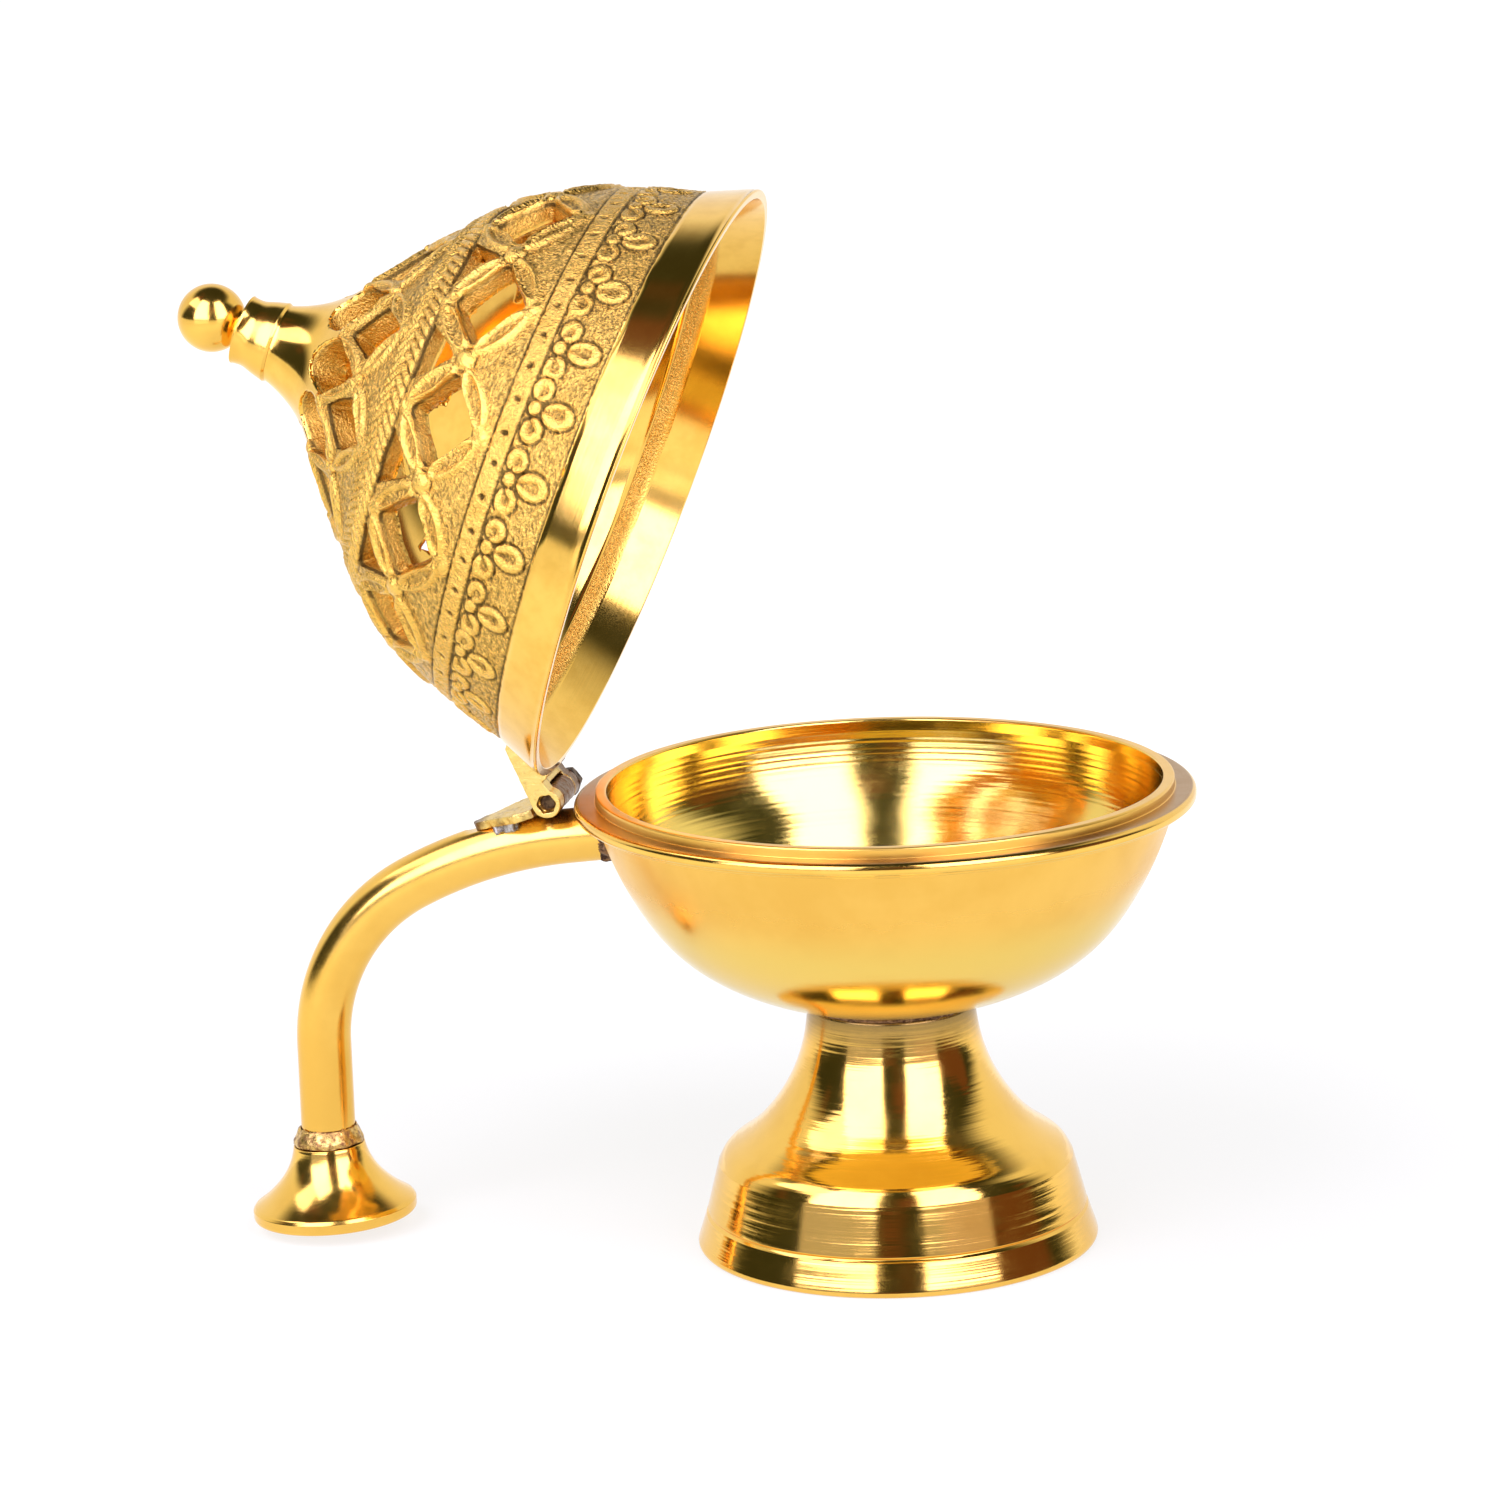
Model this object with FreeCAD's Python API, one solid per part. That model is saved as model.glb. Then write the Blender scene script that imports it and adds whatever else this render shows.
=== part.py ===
"""Footed brass incense burner: turned bowl and pedestal, bent handle, hinged pierced lid.

Frame: +Z up, origin at the centre of the pedestal's bottom, handle towards -X.  The lid is
drawn closed on the bowl and then swung open about the hinge bolt, which is the rest pose.
All lengths are in millimetres.
"""
import FreeCAD, Part
import math
import os

from FreeCAD import Vector

# ---- driving dimensions -------------------------------------------------------------------
# pedestal
foot_radius = 31.3          # pedestal at the table
foot_edge_round = 0.8
plinth_top_radius = 27.4    # sharp edge where the plinth cone meets the flare
plinth_height = 13.4
groove_height = 5.6         # scribed line round the plinth
groove_width = 0.7
groove_depth = 0.3
neck_radius = 12.95         # pedestal where it meets the bowl
neck_chamfer = 0.45         # on the pedestal and on the bowl's boss, filled by the braze
pedestal_height = 38.3
pedestal_wall = 2.6
pedestal_crown = 4.3        # solid metal left above the hollow
hollow_shoulder = 12.0      # height up to which the hollow follows the plinth cone
hollow_top_radius = 10.4
braze_proud = 0.22          # how far the braze ring stands out of the joint
braze_ring_round = 0.15

# bowl
flange_radius = 47.5
flange_top = 71.4
flange_thickness = 1.8
flange_step = 0.8           # the flange stands out this far past the step turned under it
flange_step_round = 0.25
lip_radius = 44.2           # upstanding lip inside the flange
lip_height = 1.6
lip_thickness = 1.8
bowl_wall = 2.2
bowl_floor = 2.6
bowl_floor_middle = 2.1     # the floor is a little thinner at the axis
wall_top_radius = 44.2      # bowl wall under the flange
wall_top_height = 69.0
edge_break = 0.3            # small rounding on turned edges

# handle
tube_radius = 4.25
tube_wall = 1.1
tube_start = (42.54, 64.44)             # centre line at the bowl wall: distance out, height
tube_first_run = 7.0
tube_end_overlap = 3.0      # the tube is drawn this far into the bowl and then coped to its wall
tube_bends = ((6.0, 28.2, 68.9), (28.2, 89.8, 29.5))   # slope in, slope out, bend radius
tube_end_height = 9.0
trumpet_radius = 12.9
trumpet_height = 11.6
trumpet_top_radius = 5.6
trumpet_wall = 1.3
trumpet_hollow_top_radius = 4.6
trumpet_rim_height = 1.5    # upright edge of the little foot
trumpet_rim_rounds = (0.3, 0.7)         # at the top and at the bottom of that edge
trumpet_shoulder = (12.5, 2.2)          # radius and height where the flare meets the edge
trumpet_crown = 4.2         # solid metal round the tube, above the trumpet's hollow
trumpet_tilt = 2.5          # the little foot is brazed on slightly askew, in degrees
trumpet_clearance = 1.4     # its lowest point above the table
foot_braze_height = 3.2     # collar of braze round the tube, on top of the little foot
foot_braze_proud = 0.15     # it stands out this far past the little foot's top edge
foot_braze_cover = 0.5      # its thickness over the tube near the top
fillet_length = 3.4         # braze round the tube at the bowl wall, along the tube
fillet_inside = 1.5         # part of that length inside the bowl's surface
fillet_width = 0.95         # how far it spreads from the tube
fillet_thin_end = 0.05

# hinge
hinge_reach = 51.4          # bolt axis from the bowl axis
hinge_height = 70.3
eye_radius = 2.2
bolt_radius = 1.2
running_clearance = 0.05
slot_clearance = 0.45       # round the knuckle, between the lugs
knuckle_half_width = 3.8
lug_inside = 4.05           # lugs run from here to strap_half_width, either side
strap_half_width = 7.0
tongue_slope = 19.0
tongue_thickness = 1.3
tongue_start = 2.65         # from the bolt axis, clear of the turning lugs
tongue_length = 13.9        # from the bolt axis to the tip
tongue_half_width = 6.9
tongue_straight = 3.2       # parallel-sided part of the tongue before it tapers
tongue_tip_radius = 2.4
solder_depth = 2.3
solder_half_width = 3.4
strap_plate_reach = 45.6    # outer face of the strap's plate at its top edge
strap_plate_top = 7.6       # top edge above the rim
strap_thickness = 3.1       # before its back is fitted to the lid's band
strap_heel = 48.3           # where the strap's underside leaves the lid
strap_rim_gap = 0.1         # the strap stops short of the rim's plane
bead_width = 0.55           # braze round the strap's plate
bead_bottom = 1.2           # lower end of that bead above the rim
bolt_head_flats = 4.2
bolt_head_thickness = 2.4
bolt_head_dome = 4.2        # radius of the rounded face of the head
socket_depth = 1.2          # filed round the blind end of the bolt, in the near lug
socket_flats = 2.7

# lid
open_angle = 69.0           # rest pose, measured from closed
lid_gap = 0.1               # between the rim and the flange when closed
rim_radius = 47.5
rim_land = 1.4              # flat end face of the rim
band_height = 8.2           # plain turned band above the rim
band_top_radius = 44.2
rebate_depth = 8.7
rebate_radius = 42.8        # turned bore that drops over the bowl's lip
rebate_step = 0.8           # ledge between the turned bore and the cast inside
wall_thicknesses = (2.4, 2.6, 2.9, 3.1, 3.2, 3.4, 3.8, 4.4)     # from the band up the dome
crown_inside = 50.0         # height of the inside at the axis
neck_height = 61.6          # dome casting ends here
neck_top_radius = 6.1
lattice_count = 12
lattice_turn = -4.7         # first flower of the lattice row, in degrees from +X
crown_count = 9
crown_turn = 1.8            # first flower of the crown row
diamond_middle = 28.2       # heights of the window rows' middles above the rim
triangle_middle = 33.4
small_diamond_middle = 44.2
arch_middle = 50.0
window_start = 9.0          # the window cutters start this far inside the dome
window_cut = 16.0           # and are this long
tenon_radius = 2.0
tenon_bottom = 53.5
collar_height = 6.1
collar_base_radius = 6.35   # sharp flared lower end
collar_waist = 5.15
collar_top_radius = 5.45
stem_radius = 3.0
knob_radius = 5.25
knob_height = 72.8          # ball centre above the rim

# ---- helpers ------------------------------------------------------------------------------
UP = Vector(0, 0, 1)
ACROSS = Vector(0, 1, 0)
ORIGIN = Vector(0, 0, 0)


def at(radius, height, across=0.0):
    """A point given by its distance from the bowl axis towards +X and its height."""
    return Vector(radius, across, height)


def outward(reach, height, across=0.0):
    """A point on the handle side, where distance from the bowl axis runs towards -X."""
    return Vector(-reach, across, height)


def corners(*points):
    """Straight edges through (radius, height) points; a third number rounds that corner."""
    spots = [at(point[0], point[1]) for point in points]
    rounds = [point[2] if len(point) > 2 else 0.0 for point in points]
    edges = []
    start = spots[0]
    for index in range(1, len(spots)):
        corner = spots[index]
        if rounds[index] == 0.0:
            edges.append(Part.LineSegment(start, corner).toShape())
            start = corner
            continue
        back = (spots[index - 1] - corner).normalize()
        ahead = (spots[index + 1] - corner).normalize()
        half = back.getAngle(ahead) / 2
        reach = rounds[index] / math.tan(half)
        middle = corner + (back + ahead).normalize() * rounds[index] * (1 / math.sin(half) - 1)
        edges.append(Part.LineSegment(start, corner + back * reach).toShape())
        edges.append(Part.Arc(corner + back * reach, middle, corner + ahead * reach).toShape())
        start = corner + ahead * reach
    return edges


def smooth(*points, leaving=None, arriving=None):
    """A smooth curve through (radius, height) points, with optional end directions."""
    spline = Part.BSplineCurve()
    places = [at(*point) for point in points]
    if leaving is None:
        spline.interpolate(places)
    else:
        spline.interpolate(Points=places, InitialTangent=at(*leaving), FinalTangent=at(*arriving))
    return spline


def beside(spline, gaps):
    """Points at the given distances to the left of a curve, evenly spread along it."""
    found = []
    first, last = spline.FirstParameter, spline.LastParameter
    for index, gap in enumerate(gaps):
        place = first + (last - first) * index / (len(gaps) - 1)
        along = spline.tangent(place)[0]
        left = Vector(-along.z, 0, along.x)
        point = spline.value(place) + left * gap
        found.append((point.x, point.z))
    return found


def turned(edges):
    """Turn a closed outline round the upright axis."""
    return Part.Face(Part.Wire(edges)).revolve(ORIGIN, UP, 360)


def plate(points, half_width):
    """Extrude an upright outline of (reach, height) points on the handle side."""
    ring = [outward(reach, height, -half_width) for reach, height in points]
    face = Part.Face(Part.makePolygon(ring + [ring[0]]))
    return face.extrude(Vector(0, 2 * half_width, 0))


def rod(radius, low, high):
    """A cylinder along Y about the hinge axis, from low to high."""
    return Part.makeCylinder(radius, high - low, outward(hinge_reach, hinge_height, low), ACROSS)


def hexagon(flats, low, high):
    """A hexagonal prism along Y about the hinge axis."""
    reach = flats / 2 / math.cos(math.pi / 6)
    ring = []
    for corner in range(7):
        turn = math.pi / 3 * corner
        ring.append(outward(hinge_reach + reach * math.cos(turn),
                            hinge_height + reach * math.sin(turn), low))
    return Part.Face(Part.makePolygon(ring)).extrude(Vector(0, high - low, 0))


# ---- pedestal -----------------------------------------------------------------------------
def plinth_radius(height):
    """Radius of the plinth cone at a height."""
    return foot_radius + (plinth_top_radius - foot_radius) * height / plinth_height


def make_pedestal():
    """Hollow turned pedestal: conical plinth, sharp edge, then a trumpet flare to the neck."""
    groove_low = groove_height - groove_width / 2
    groove_high = groove_height + groove_width / 2
    hollow_shoulder_radius = plinth_radius(hollow_shoulder) - pedestal_wall
    hollow_top = pedestal_height - pedestal_crown
    flare = smooth((plinth_top_radius, plinth_height), (26.2, 15.3), (24.4, 16.7),
                   (21.5, 18.95), (18.3, 22.6), (15.5, 27.3), (13.8, 32.1),
                   (neck_radius, pedestal_height - neck_chamfer),
                   leaving=(-0.45, 1.0), arriving=(-0.05, 1.0))
    inside = smooth((hollow_shoulder_radius, hollow_shoulder), (19.0, 17.6), (14.6, 23.0),
                    (11.9, 28.5), (hollow_top_radius, hollow_top))
    outer = corners((0, pedestal_height), (neck_radius - neck_chamfer, pedestal_height),
                    (neck_radius, pedestal_height - neck_chamfer))
    plinth = corners((plinth_top_radius, plinth_height),
                     (plinth_radius(groove_high), groove_high),
                     (plinth_radius(groove_height) - groove_depth, groove_height),
                     (plinth_radius(groove_low), groove_low),
                     (foot_radius, 0, foot_edge_round),
                     (foot_radius - pedestal_wall, 0),
                     (hollow_shoulder_radius, hollow_shoulder))
    closing = corners((hollow_top_radius, hollow_top), (0, hollow_top), (0, pedestal_height))
    return turned(outer + [flare.toShape()] + plinth + [inside.toShape()] + closing)


def make_pedestal_braze():
    """Ring of brazing metal in the groove between the pedestal and the bowl."""
    return turned(corners((neck_radius - neck_chamfer, pedestal_height),
                          (neck_radius, pedestal_height - neck_chamfer),
                          (neck_radius + braze_proud, pedestal_height, braze_ring_round),
                          (neck_radius, pedestal_height + neck_chamfer),
                          (neck_radius - neck_chamfer, pedestal_height)))


# ---- bowl ---------------------------------------------------------------------------------
bowl_bottom = pedestal_height + neck_chamfer


def bowl_outside():
    """The bowl's outer curve, from the pedestal to the wall under the flange."""
    return smooth((neck_radius, bowl_bottom), (18.1, 39.95), (25.1, 42.75),
                  (30.0, 45.7), (34.6, 49.9), (38.0, 54.6), (40.9, 59.9), (43.0, 65.0),
                  (wall_top_radius, wall_top_height), leaving=(1.0, 0.12), arriving=(0.22, 1.0))


def bowl_core():
    """The space inside the bowl's outer surface, used to fit the handle tube to the wall."""
    top = corners((wall_top_radius, wall_top_height), (0, wall_top_height), (0, bowl_bottom))
    return turned(corners((0, bowl_bottom), (neck_radius, bowl_bottom))
                  + [bowl_outside().toShape()] + top)


def make_bowl():
    """Turned bowl with a flange, an upstanding lip and a flat boss on the pedestal."""
    rise = bowl_outside()
    gaps = [bowl_floor, bowl_floor] + [bowl_wall] * 8
    wall = beside(rise, gaps)
    lip_inside = lip_radius - lip_thickness
    lip_top = flange_top + lip_height
    floor = bowl_bottom + bowl_floor_middle
    inside = smooth(*([(0, floor)] + wall[1:-1] + [(lip_inside, flange_top)]),
                    leaving=(1.0, 0.0), arriving=(0.05, 1.0))
    under = corners((0, pedestal_height), (neck_radius - neck_chamfer, pedestal_height),
                    (neck_radius, bowl_bottom))
    step_radius = flange_radius - flange_step
    flange = corners((wall_top_radius, wall_top_height),
                     (step_radius - 0.2, wall_top_height + 0.1, flange_step_round),
                     (step_radius, flange_top - flange_thickness),
                     (flange_radius, flange_top - flange_thickness, edge_break),
                     (flange_radius, flange_top, edge_break),
                     (lip_radius, flange_top),
                     (lip_radius, lip_top, edge_break),
                     (lip_inside, lip_top, edge_break),
                     (lip_inside, flange_top))
    middle = corners((0, floor), (0, pedestal_height))
    return turned(under + [rise.toShape()] + flange + [inside.toShape()] + middle)


# ---- handle -------------------------------------------------------------------------------
def tube_path():
    """Centre line of the handle: a short run, two tangent bends and a straight leg."""
    slope = math.radians(tube_bends[0][0])
    reach, height = tube_start
    inner_end = outward(reach - tube_end_overlap * math.cos(slope),
                        height + tube_end_overlap * math.sin(slope))
    reach += tube_first_run * math.cos(slope)
    height -= tube_first_run * math.sin(slope)
    edges = [Part.LineSegment(inner_end, outward(reach, height)).toShape()]
    for slope_in, slope_out, radius in tube_bends:
        begin, end = math.radians(slope_in), math.radians(slope_out)
        middle = (begin + end) / 2
        spots = []
        for turn in (begin, middle, end):
            spots.append((reach + radius * (math.sin(turn) - math.sin(begin)),
                          height - radius * (math.cos(begin) - math.cos(turn))))
        edges.append(Part.Arc(*[outward(*spot) for spot in spots]).toShape())
        reach, height = spots[-1]
    leg = (height - tube_end_height) / math.sin(end)
    reach += leg * math.cos(end)
    edges.append(Part.LineSegment(outward(*spots[-1]), outward(reach, tube_end_height)).toShape())
    return Part.Wire(edges), outward(reach, tube_end_height)


def pipe(radius):
    """A round bar of the given radius along the handle's centre line."""
    path = tube_path()[0]
    begin = path.Vertexes[0].Point
    along = path.Edges[0].tangentAt(path.Edges[0].FirstParameter)
    ring = Part.Wire(Part.makeCircle(radius, begin, along))
    return path.makePipeShell([ring], True, True)


def trumpet_frame(shape):
    """Tilt the little foot and drop it to its clearance above the table, under the tube."""
    tube_end = tube_path()[1]
    shape.rotate(Vector(0, 0, trumpet_height), ACROSS, -trumpet_tilt)
    lift = trumpet_clearance + trumpet_radius * math.sin(math.radians(trumpet_tilt))
    shape.translate(Vector(tube_end.x, 0, lift))
    return shape


def make_trumpet():
    """Small hollow trumpet foot, bored for the end of the tube."""
    hollow_top = trumpet_height - trumpet_crown
    outer = smooth((trumpet_top_radius, trumpet_height), (6.0, 9.9), (6.7, 8.2), (7.7, 6.6),
                   (9.2, 4.9), (10.9, 3.4), trumpet_shoulder)
    inner = smooth((trumpet_hollow_top_radius, hollow_top), (6.0, 5.6), (7.9, 3.6),
                   (trumpet_radius - trumpet_wall, 0.0))
    edges = corners((0, trumpet_height), (trumpet_top_radius, trumpet_height))
    edges += [outer.toShape()]
    edges += corners(trumpet_shoulder, (trumpet_radius, trumpet_rim_height, trumpet_rim_rounds[0]),
                     (trumpet_radius, 0, trumpet_rim_rounds[1]),
                     (trumpet_radius - trumpet_wall, 0))
    edges += [inner.toShape()]
    edges += corners((trumpet_hollow_top_radius, hollow_top), (0, hollow_top),
                     (0, trumpet_height))
    return trumpet_frame(turned(edges)).cut(pipe(tube_radius))


def make_trumpet_braze():
    """Collar of brazing metal round the tube on top of the little foot."""
    low = trumpet_height
    high = trumpet_height + foot_braze_height
    collar = turned(corners((0, low), (trumpet_top_radius + foot_braze_proud, low),
                            (trumpet_top_radius + 0.1, low + 0.9, 0.4),
                            (tube_radius + foot_braze_cover, high - 0.3, 0.5),
                            (tube_radius - 0.25, high), (0, high), (0, low)))
    return trumpet_frame(collar).cut(pipe(tube_radius))


def make_tube_braze():
    """Fillet of brazing metal round the tube where it meets the bowl wall."""
    slope = math.radians(tube_bends[0][0])
    along = Vector(-math.cos(slope), 0, -math.sin(slope))
    start = outward(*tube_start) - along * fillet_inside
    cone = Part.makeCone(tube_radius + fillet_width, tube_radius + fillet_thin_end,
                         fillet_length, start, along)
    under_lip = Part.makeCylinder(lip_radius, 3, at(0, wall_top_height - 0.5))
    return cone.cut([pipe(tube_radius), bowl_core(), make_bowl(), under_lip])


# ---- hinge, fixed leaf --------------------------------------------------------------------
def tongue_prism(low, high, shrink=0.0, begin=tongue_start):
    """The tapering tongue's outline, extruded between two levels below the bolt axis."""
    half = tongue_half_width - shrink
    tip = tongue_tip_radius - shrink * 0.5
    end = tongue_length - shrink
    near = Vector(-begin, -half, low)
    shoulder = Vector(-begin - tongue_straight, -half, low)
    tip_near = Vector(-(end - tip), -tip, low)
    tip_end = Vector(-end, 0, low)
    tip_far = Vector(-(end - tip), tip, low)
    far_shoulder = Vector(-begin - tongue_straight, half, low)
    far = Vector(-begin, half, low)
    edges = [Part.LineSegment(near, shoulder).toShape(),
             Part.LineSegment(shoulder, tip_near).toShape(),
             Part.Arc(tip_near, tip_end, tip_far).toShape(),
             Part.LineSegment(tip_far, far_shoulder).toShape(),
             Part.LineSegment(far_shoulder, far).toShape(),
             Part.LineSegment(far, near).toShape()]
    prism = Part.Face(Part.Wire(edges)).extrude(Vector(0, 0, high - low))
    prism.rotate(ORIGIN, ACROSS, -tongue_slope)
    prism.translate(outward(hinge_reach, hinge_height))
    return prism


def make_hinge_leaf():
    """Fixed leaf: a knuckle between the lugs and a tongue that lies on the handle tube."""
    knuckle = rod(eye_radius, -knuckle_half_width, knuckle_half_width)
    neck_length = tongue_start + 0.4
    neck = Part.makeBox(neck_length, 2 * knuckle_half_width, tongue_thickness,
                        Vector(-neck_length, -knuckle_half_width, -tongue_thickness))
    neck.rotate(ORIGIN, ACROSS, -tongue_slope)
    neck.translate(outward(hinge_reach, hinge_height))
    leaf = knuckle.fuse([neck, tongue_prism(-tongue_thickness, 0)])
    bore = rod(bolt_radius + running_clearance, -knuckle_half_width, knuckle_half_width)
    return leaf.cut(bore).removeSplitter()


def make_leaf_solder():
    """Bed of soft solder between the tongue and the tube."""
    bed = tongue_prism(-tongue_thickness - solder_depth, -tongue_thickness,
                       shrink=1.2, begin=2 * tongue_straight)
    sides = Part.makeBox(20, 2 * solder_half_width, 20,
                         outward(hinge_reach + 18, hinge_height - 15, -solder_half_width))
    return bed.common(sides).cut(pipe(tube_radius))


def make_tube():
    """Bent brass tube, coped to the bowl wall, with a filed seat for the tongue."""
    tube = pipe(tube_radius).cut(pipe(tube_radius - tube_wall))
    seat = tongue_prism(-tongue_thickness, 1.0)
    return tube.cut(bowl_core()).cut(seat)


# ---- lid, drawn closed --------------------------------------------------------------------
rim_height = flange_top + lid_gap


def above_rim(radius, distance):
    """A (radius, height) pair for a point on the lid, measured up from its rim."""
    return (radius, rim_height + distance)


def dome_curve():
    """The dome's outer curve, from the top of the plain band to the neck."""
    spots = [(band_top_radius, band_height), (42.0, 15.4), (39.2, 23.1), (35.7, 29.9),
             (31.4, 35.6), (25.7, 40.9), (20.0, 45.7), (14.1, 51.0), (10.0, 54.5),
             (7.5, 58.2), (neck_top_radius, neck_height)]
    return smooth(*[above_rim(*spot) for spot in spots], leaving=(-0.31, 1.0), arriving=(-0.3, 1.0))


def dome_outline():
    """Outer edges of the lid casting from the rim up to the axis, without the inside."""
    return (corners(above_rim(rim_radius - rim_land, 0), above_rim(rim_radius, 0) + (edge_break,),
                    above_rim(rim_radius - 0.4, 1.4) + (2.0,),
                    above_rim(band_top_radius, band_height))
            + [dome_curve().toShape()])


def lid_core():
    """Everything inside the lid's outer surface, used to fit the hinge strap to the band."""
    top = corners(above_rim(neck_top_radius, neck_height), above_rim(0, neck_height),
                  above_rim(0, 0), above_rim(rim_radius - rim_land, 0))
    return turned(dome_outline() + top)


def on_dome(distance):
    """The point of the dome's outer curve at a height above the rim, and its rising direction."""
    curve = dome_curve()
    low, high = curve.FirstParameter, curve.LastParameter
    for step in range(40):
        middle = (low + high) / 2
        if curve.value(middle).z < rim_height + distance:
            low = middle
        else:
            high = middle
    return curve.value(low), curve.tangent(low)[0]


def windows(count, first_turn, distance, points):
    """Bars square to the dome, with an (across, up the slope) outline, evenly round the lid."""
    place, rising = on_dome(distance)
    out = Vector(rising.z, 0, -rising.x)
    start = place - out * window_start
    ring = [start + ACROSS * across + rising * rise for across, rise in points]
    bar = Part.Face(Part.makePolygon(ring + [ring[0]])).extrude(out * window_cut)
    bars = []
    for index in range(count):
        turned_bar = bar.copy()
        turned_bar.rotate(ORIGIN, UP, first_turn + 360.0 / count * index)
        bars.append(turned_bar)
    return bars


def make_dome():
    """Pierced cast dome with a turned rim, a rebate for the lip and a bored neck."""
    spare = (wall_thicknesses[-1],) * 3
    wall = beside(dome_curve(), wall_thicknesses + spare)
    ledge_radius = rebate_radius - rebate_step
    inside = smooth(*([above_rim(ledge_radius, rebate_depth)] + wall[2:8]
                      + [above_rim(0, crown_inside)]),
                    leaving=(-0.3, 1.0), arriving=(-1.0, 0.0))
    edges = dome_outline()
    edges += corners(above_rim(neck_top_radius, neck_height), above_rim(0, neck_height),
                     above_rim(0, crown_inside))
    edges += [inside.toShape()]
    edges += corners(above_rim(ledge_radius, rebate_depth), above_rim(rebate_radius, rebate_depth),
                     above_rim(rim_radius - rim_land, 0))
    dome = turned(edges)
    diamond = [(-7.3, 0), (0, -6.0), (7.3, 0), (0, 6.0)]
    triangle = [(-4.9, 2.4), (0, -4.3), (4.9, 2.4)]
    small_diamond = [(-4.2, 0), (0, -6.0), (4.2, 0), (0, 6.0)]
    arch = [(0, -7.0), (4.0, -0.9), (3.8, 1.9), (2.5, 4.6), (0.9, 5.9),
            (-0.9, 5.9), (-2.5, 4.6), (-3.8, 1.9), (-4.0, -0.9)]
    between_lattice = lattice_turn + 180 / lattice_count
    between_crown = crown_turn + 180 / crown_count
    cutters = windows(lattice_count, between_lattice, diamond_middle, diamond)
    cutters += windows(lattice_count, lattice_turn, triangle_middle, triangle)
    cutters += windows(crown_count, between_crown, small_diamond_middle,
                       small_diamond)
    cutters += windows(crown_count, crown_turn, arch_middle, arch)
    cutters.append(Part.makeCylinder(tenon_radius, 20, at(0, rim_height + crown_inside - 2)))
    return dome.cut(cutters)


def strap_outline():
    """Side view of the strap: thin on the band, growing to an eye round the bolt."""
    top = (strap_plate_reach, rim_height + strap_plate_top)
    inner_top = (strap_plate_reach - strap_thickness, rim_height + strap_plate_top)
    underside = rim_height + strap_rim_gap
    toward = (hinge_reach - top[0], hinge_height - top[1])
    distance = math.hypot(*toward)
    heading = math.atan2(toward[1], toward[0]) + math.asin(eye_radius / distance)
    points = [inner_top, top]
    first = heading + math.pi / 2
    last = math.radians(-188)
    steps = 18
    for step in range(steps + 1):
        turn = first + (last - first) * step / steps
        points.append((hinge_reach + eye_radius * math.cos(turn),
                       hinge_height + eye_radius * math.sin(turn)))
    points += [(strap_heel, underside + 0.5), (strap_heel - 0.6, underside),
               (band_top_radius - 1.2, underside)]
    return points


def make_strap():
    """Upper hinge leaf: a plate brazed on the lid's band, ending in two lugs."""
    strap = plate(strap_outline(), strap_half_width)
    slot = rod(eye_radius + slot_clearance, -lug_inside, lug_inside)
    below = Part.makeBox(12, 2 * lug_inside, 8,
                         outward(hinge_reach + 9, hinge_height - 8, -lug_inside))
    bolt_hole = rod(bolt_radius, -strap_half_width, strap_half_width)
    socket = hexagon(socket_flats, -strap_half_width - 0.1, -strap_half_width + socket_depth)
    return strap.cut([slot, below, bolt_hole, socket, lid_core()])


def make_strap_braze():
    """Bead of brazing metal round the strap's plate on the lid's band."""
    low = bead_bottom
    skin = turned(corners(above_rim(band_top_radius - 1, band_height),
                          above_rim(band_top_radius + bead_width, band_height),
                          above_rim(rim_radius - 0.5 + bead_width, low),
                          above_rim(rim_radius - 2.0, low),
                          above_rim(band_top_radius - 1, band_height)))
    reach = strap_half_width + bead_width
    block = Part.makeBox(12, 2 * reach, 20, outward(54, rim_height, -reach))
    return skin.common(block).cut(lid_core()).cut(plate(strap_outline(), strap_half_width))


def make_bolt():
    """Hex-headed bolt: the hinge axle, head on the far side, shank short of the near face."""
    shank = rod(bolt_radius, -strap_half_width + socket_depth, strap_half_width)
    head_end = strap_half_width + bolt_head_thickness
    head = hexagon(bolt_head_flats, strap_half_width, head_end)
    dome = Part.makeSphere(bolt_head_dome,
                           outward(hinge_reach, hinge_height, head_end - bolt_head_dome + 0.3))
    return shank.fuse(head.common(dome)).removeSplitter()


def make_collar():
    """Turned collar on the neck, under the knob."""
    low = neck_height
    high = neck_height + collar_height
    return turned(corners(above_rim(tenon_radius, low), above_rim(6.1, low),
                          above_rim(collar_base_radius, low + 0.5) + (0.2,),
                          above_rim(5.15, high - 1.4) + (3.0,),
                          above_rim(5.45, high) + (0.25,),
                          above_rim(tenon_radius, high),
                          above_rim(tenon_radius, low)))


def make_knob():
    """Ball knob with a short stem and a tenon through the collar into the neck."""
    top = neck_height + collar_height
    ball = Part.makeSphere(knob_radius, at(0, rim_height + knob_height))
    stem = Part.makeCylinder(stem_radius, knob_height - top - 2.0, at(0, rim_height + top))
    tenon = Part.makeCylinder(tenon_radius, top - tenon_bottom, at(0, rim_height + tenon_bottom))
    return ball.fuse([stem, tenon]).removeSplitter()


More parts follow.
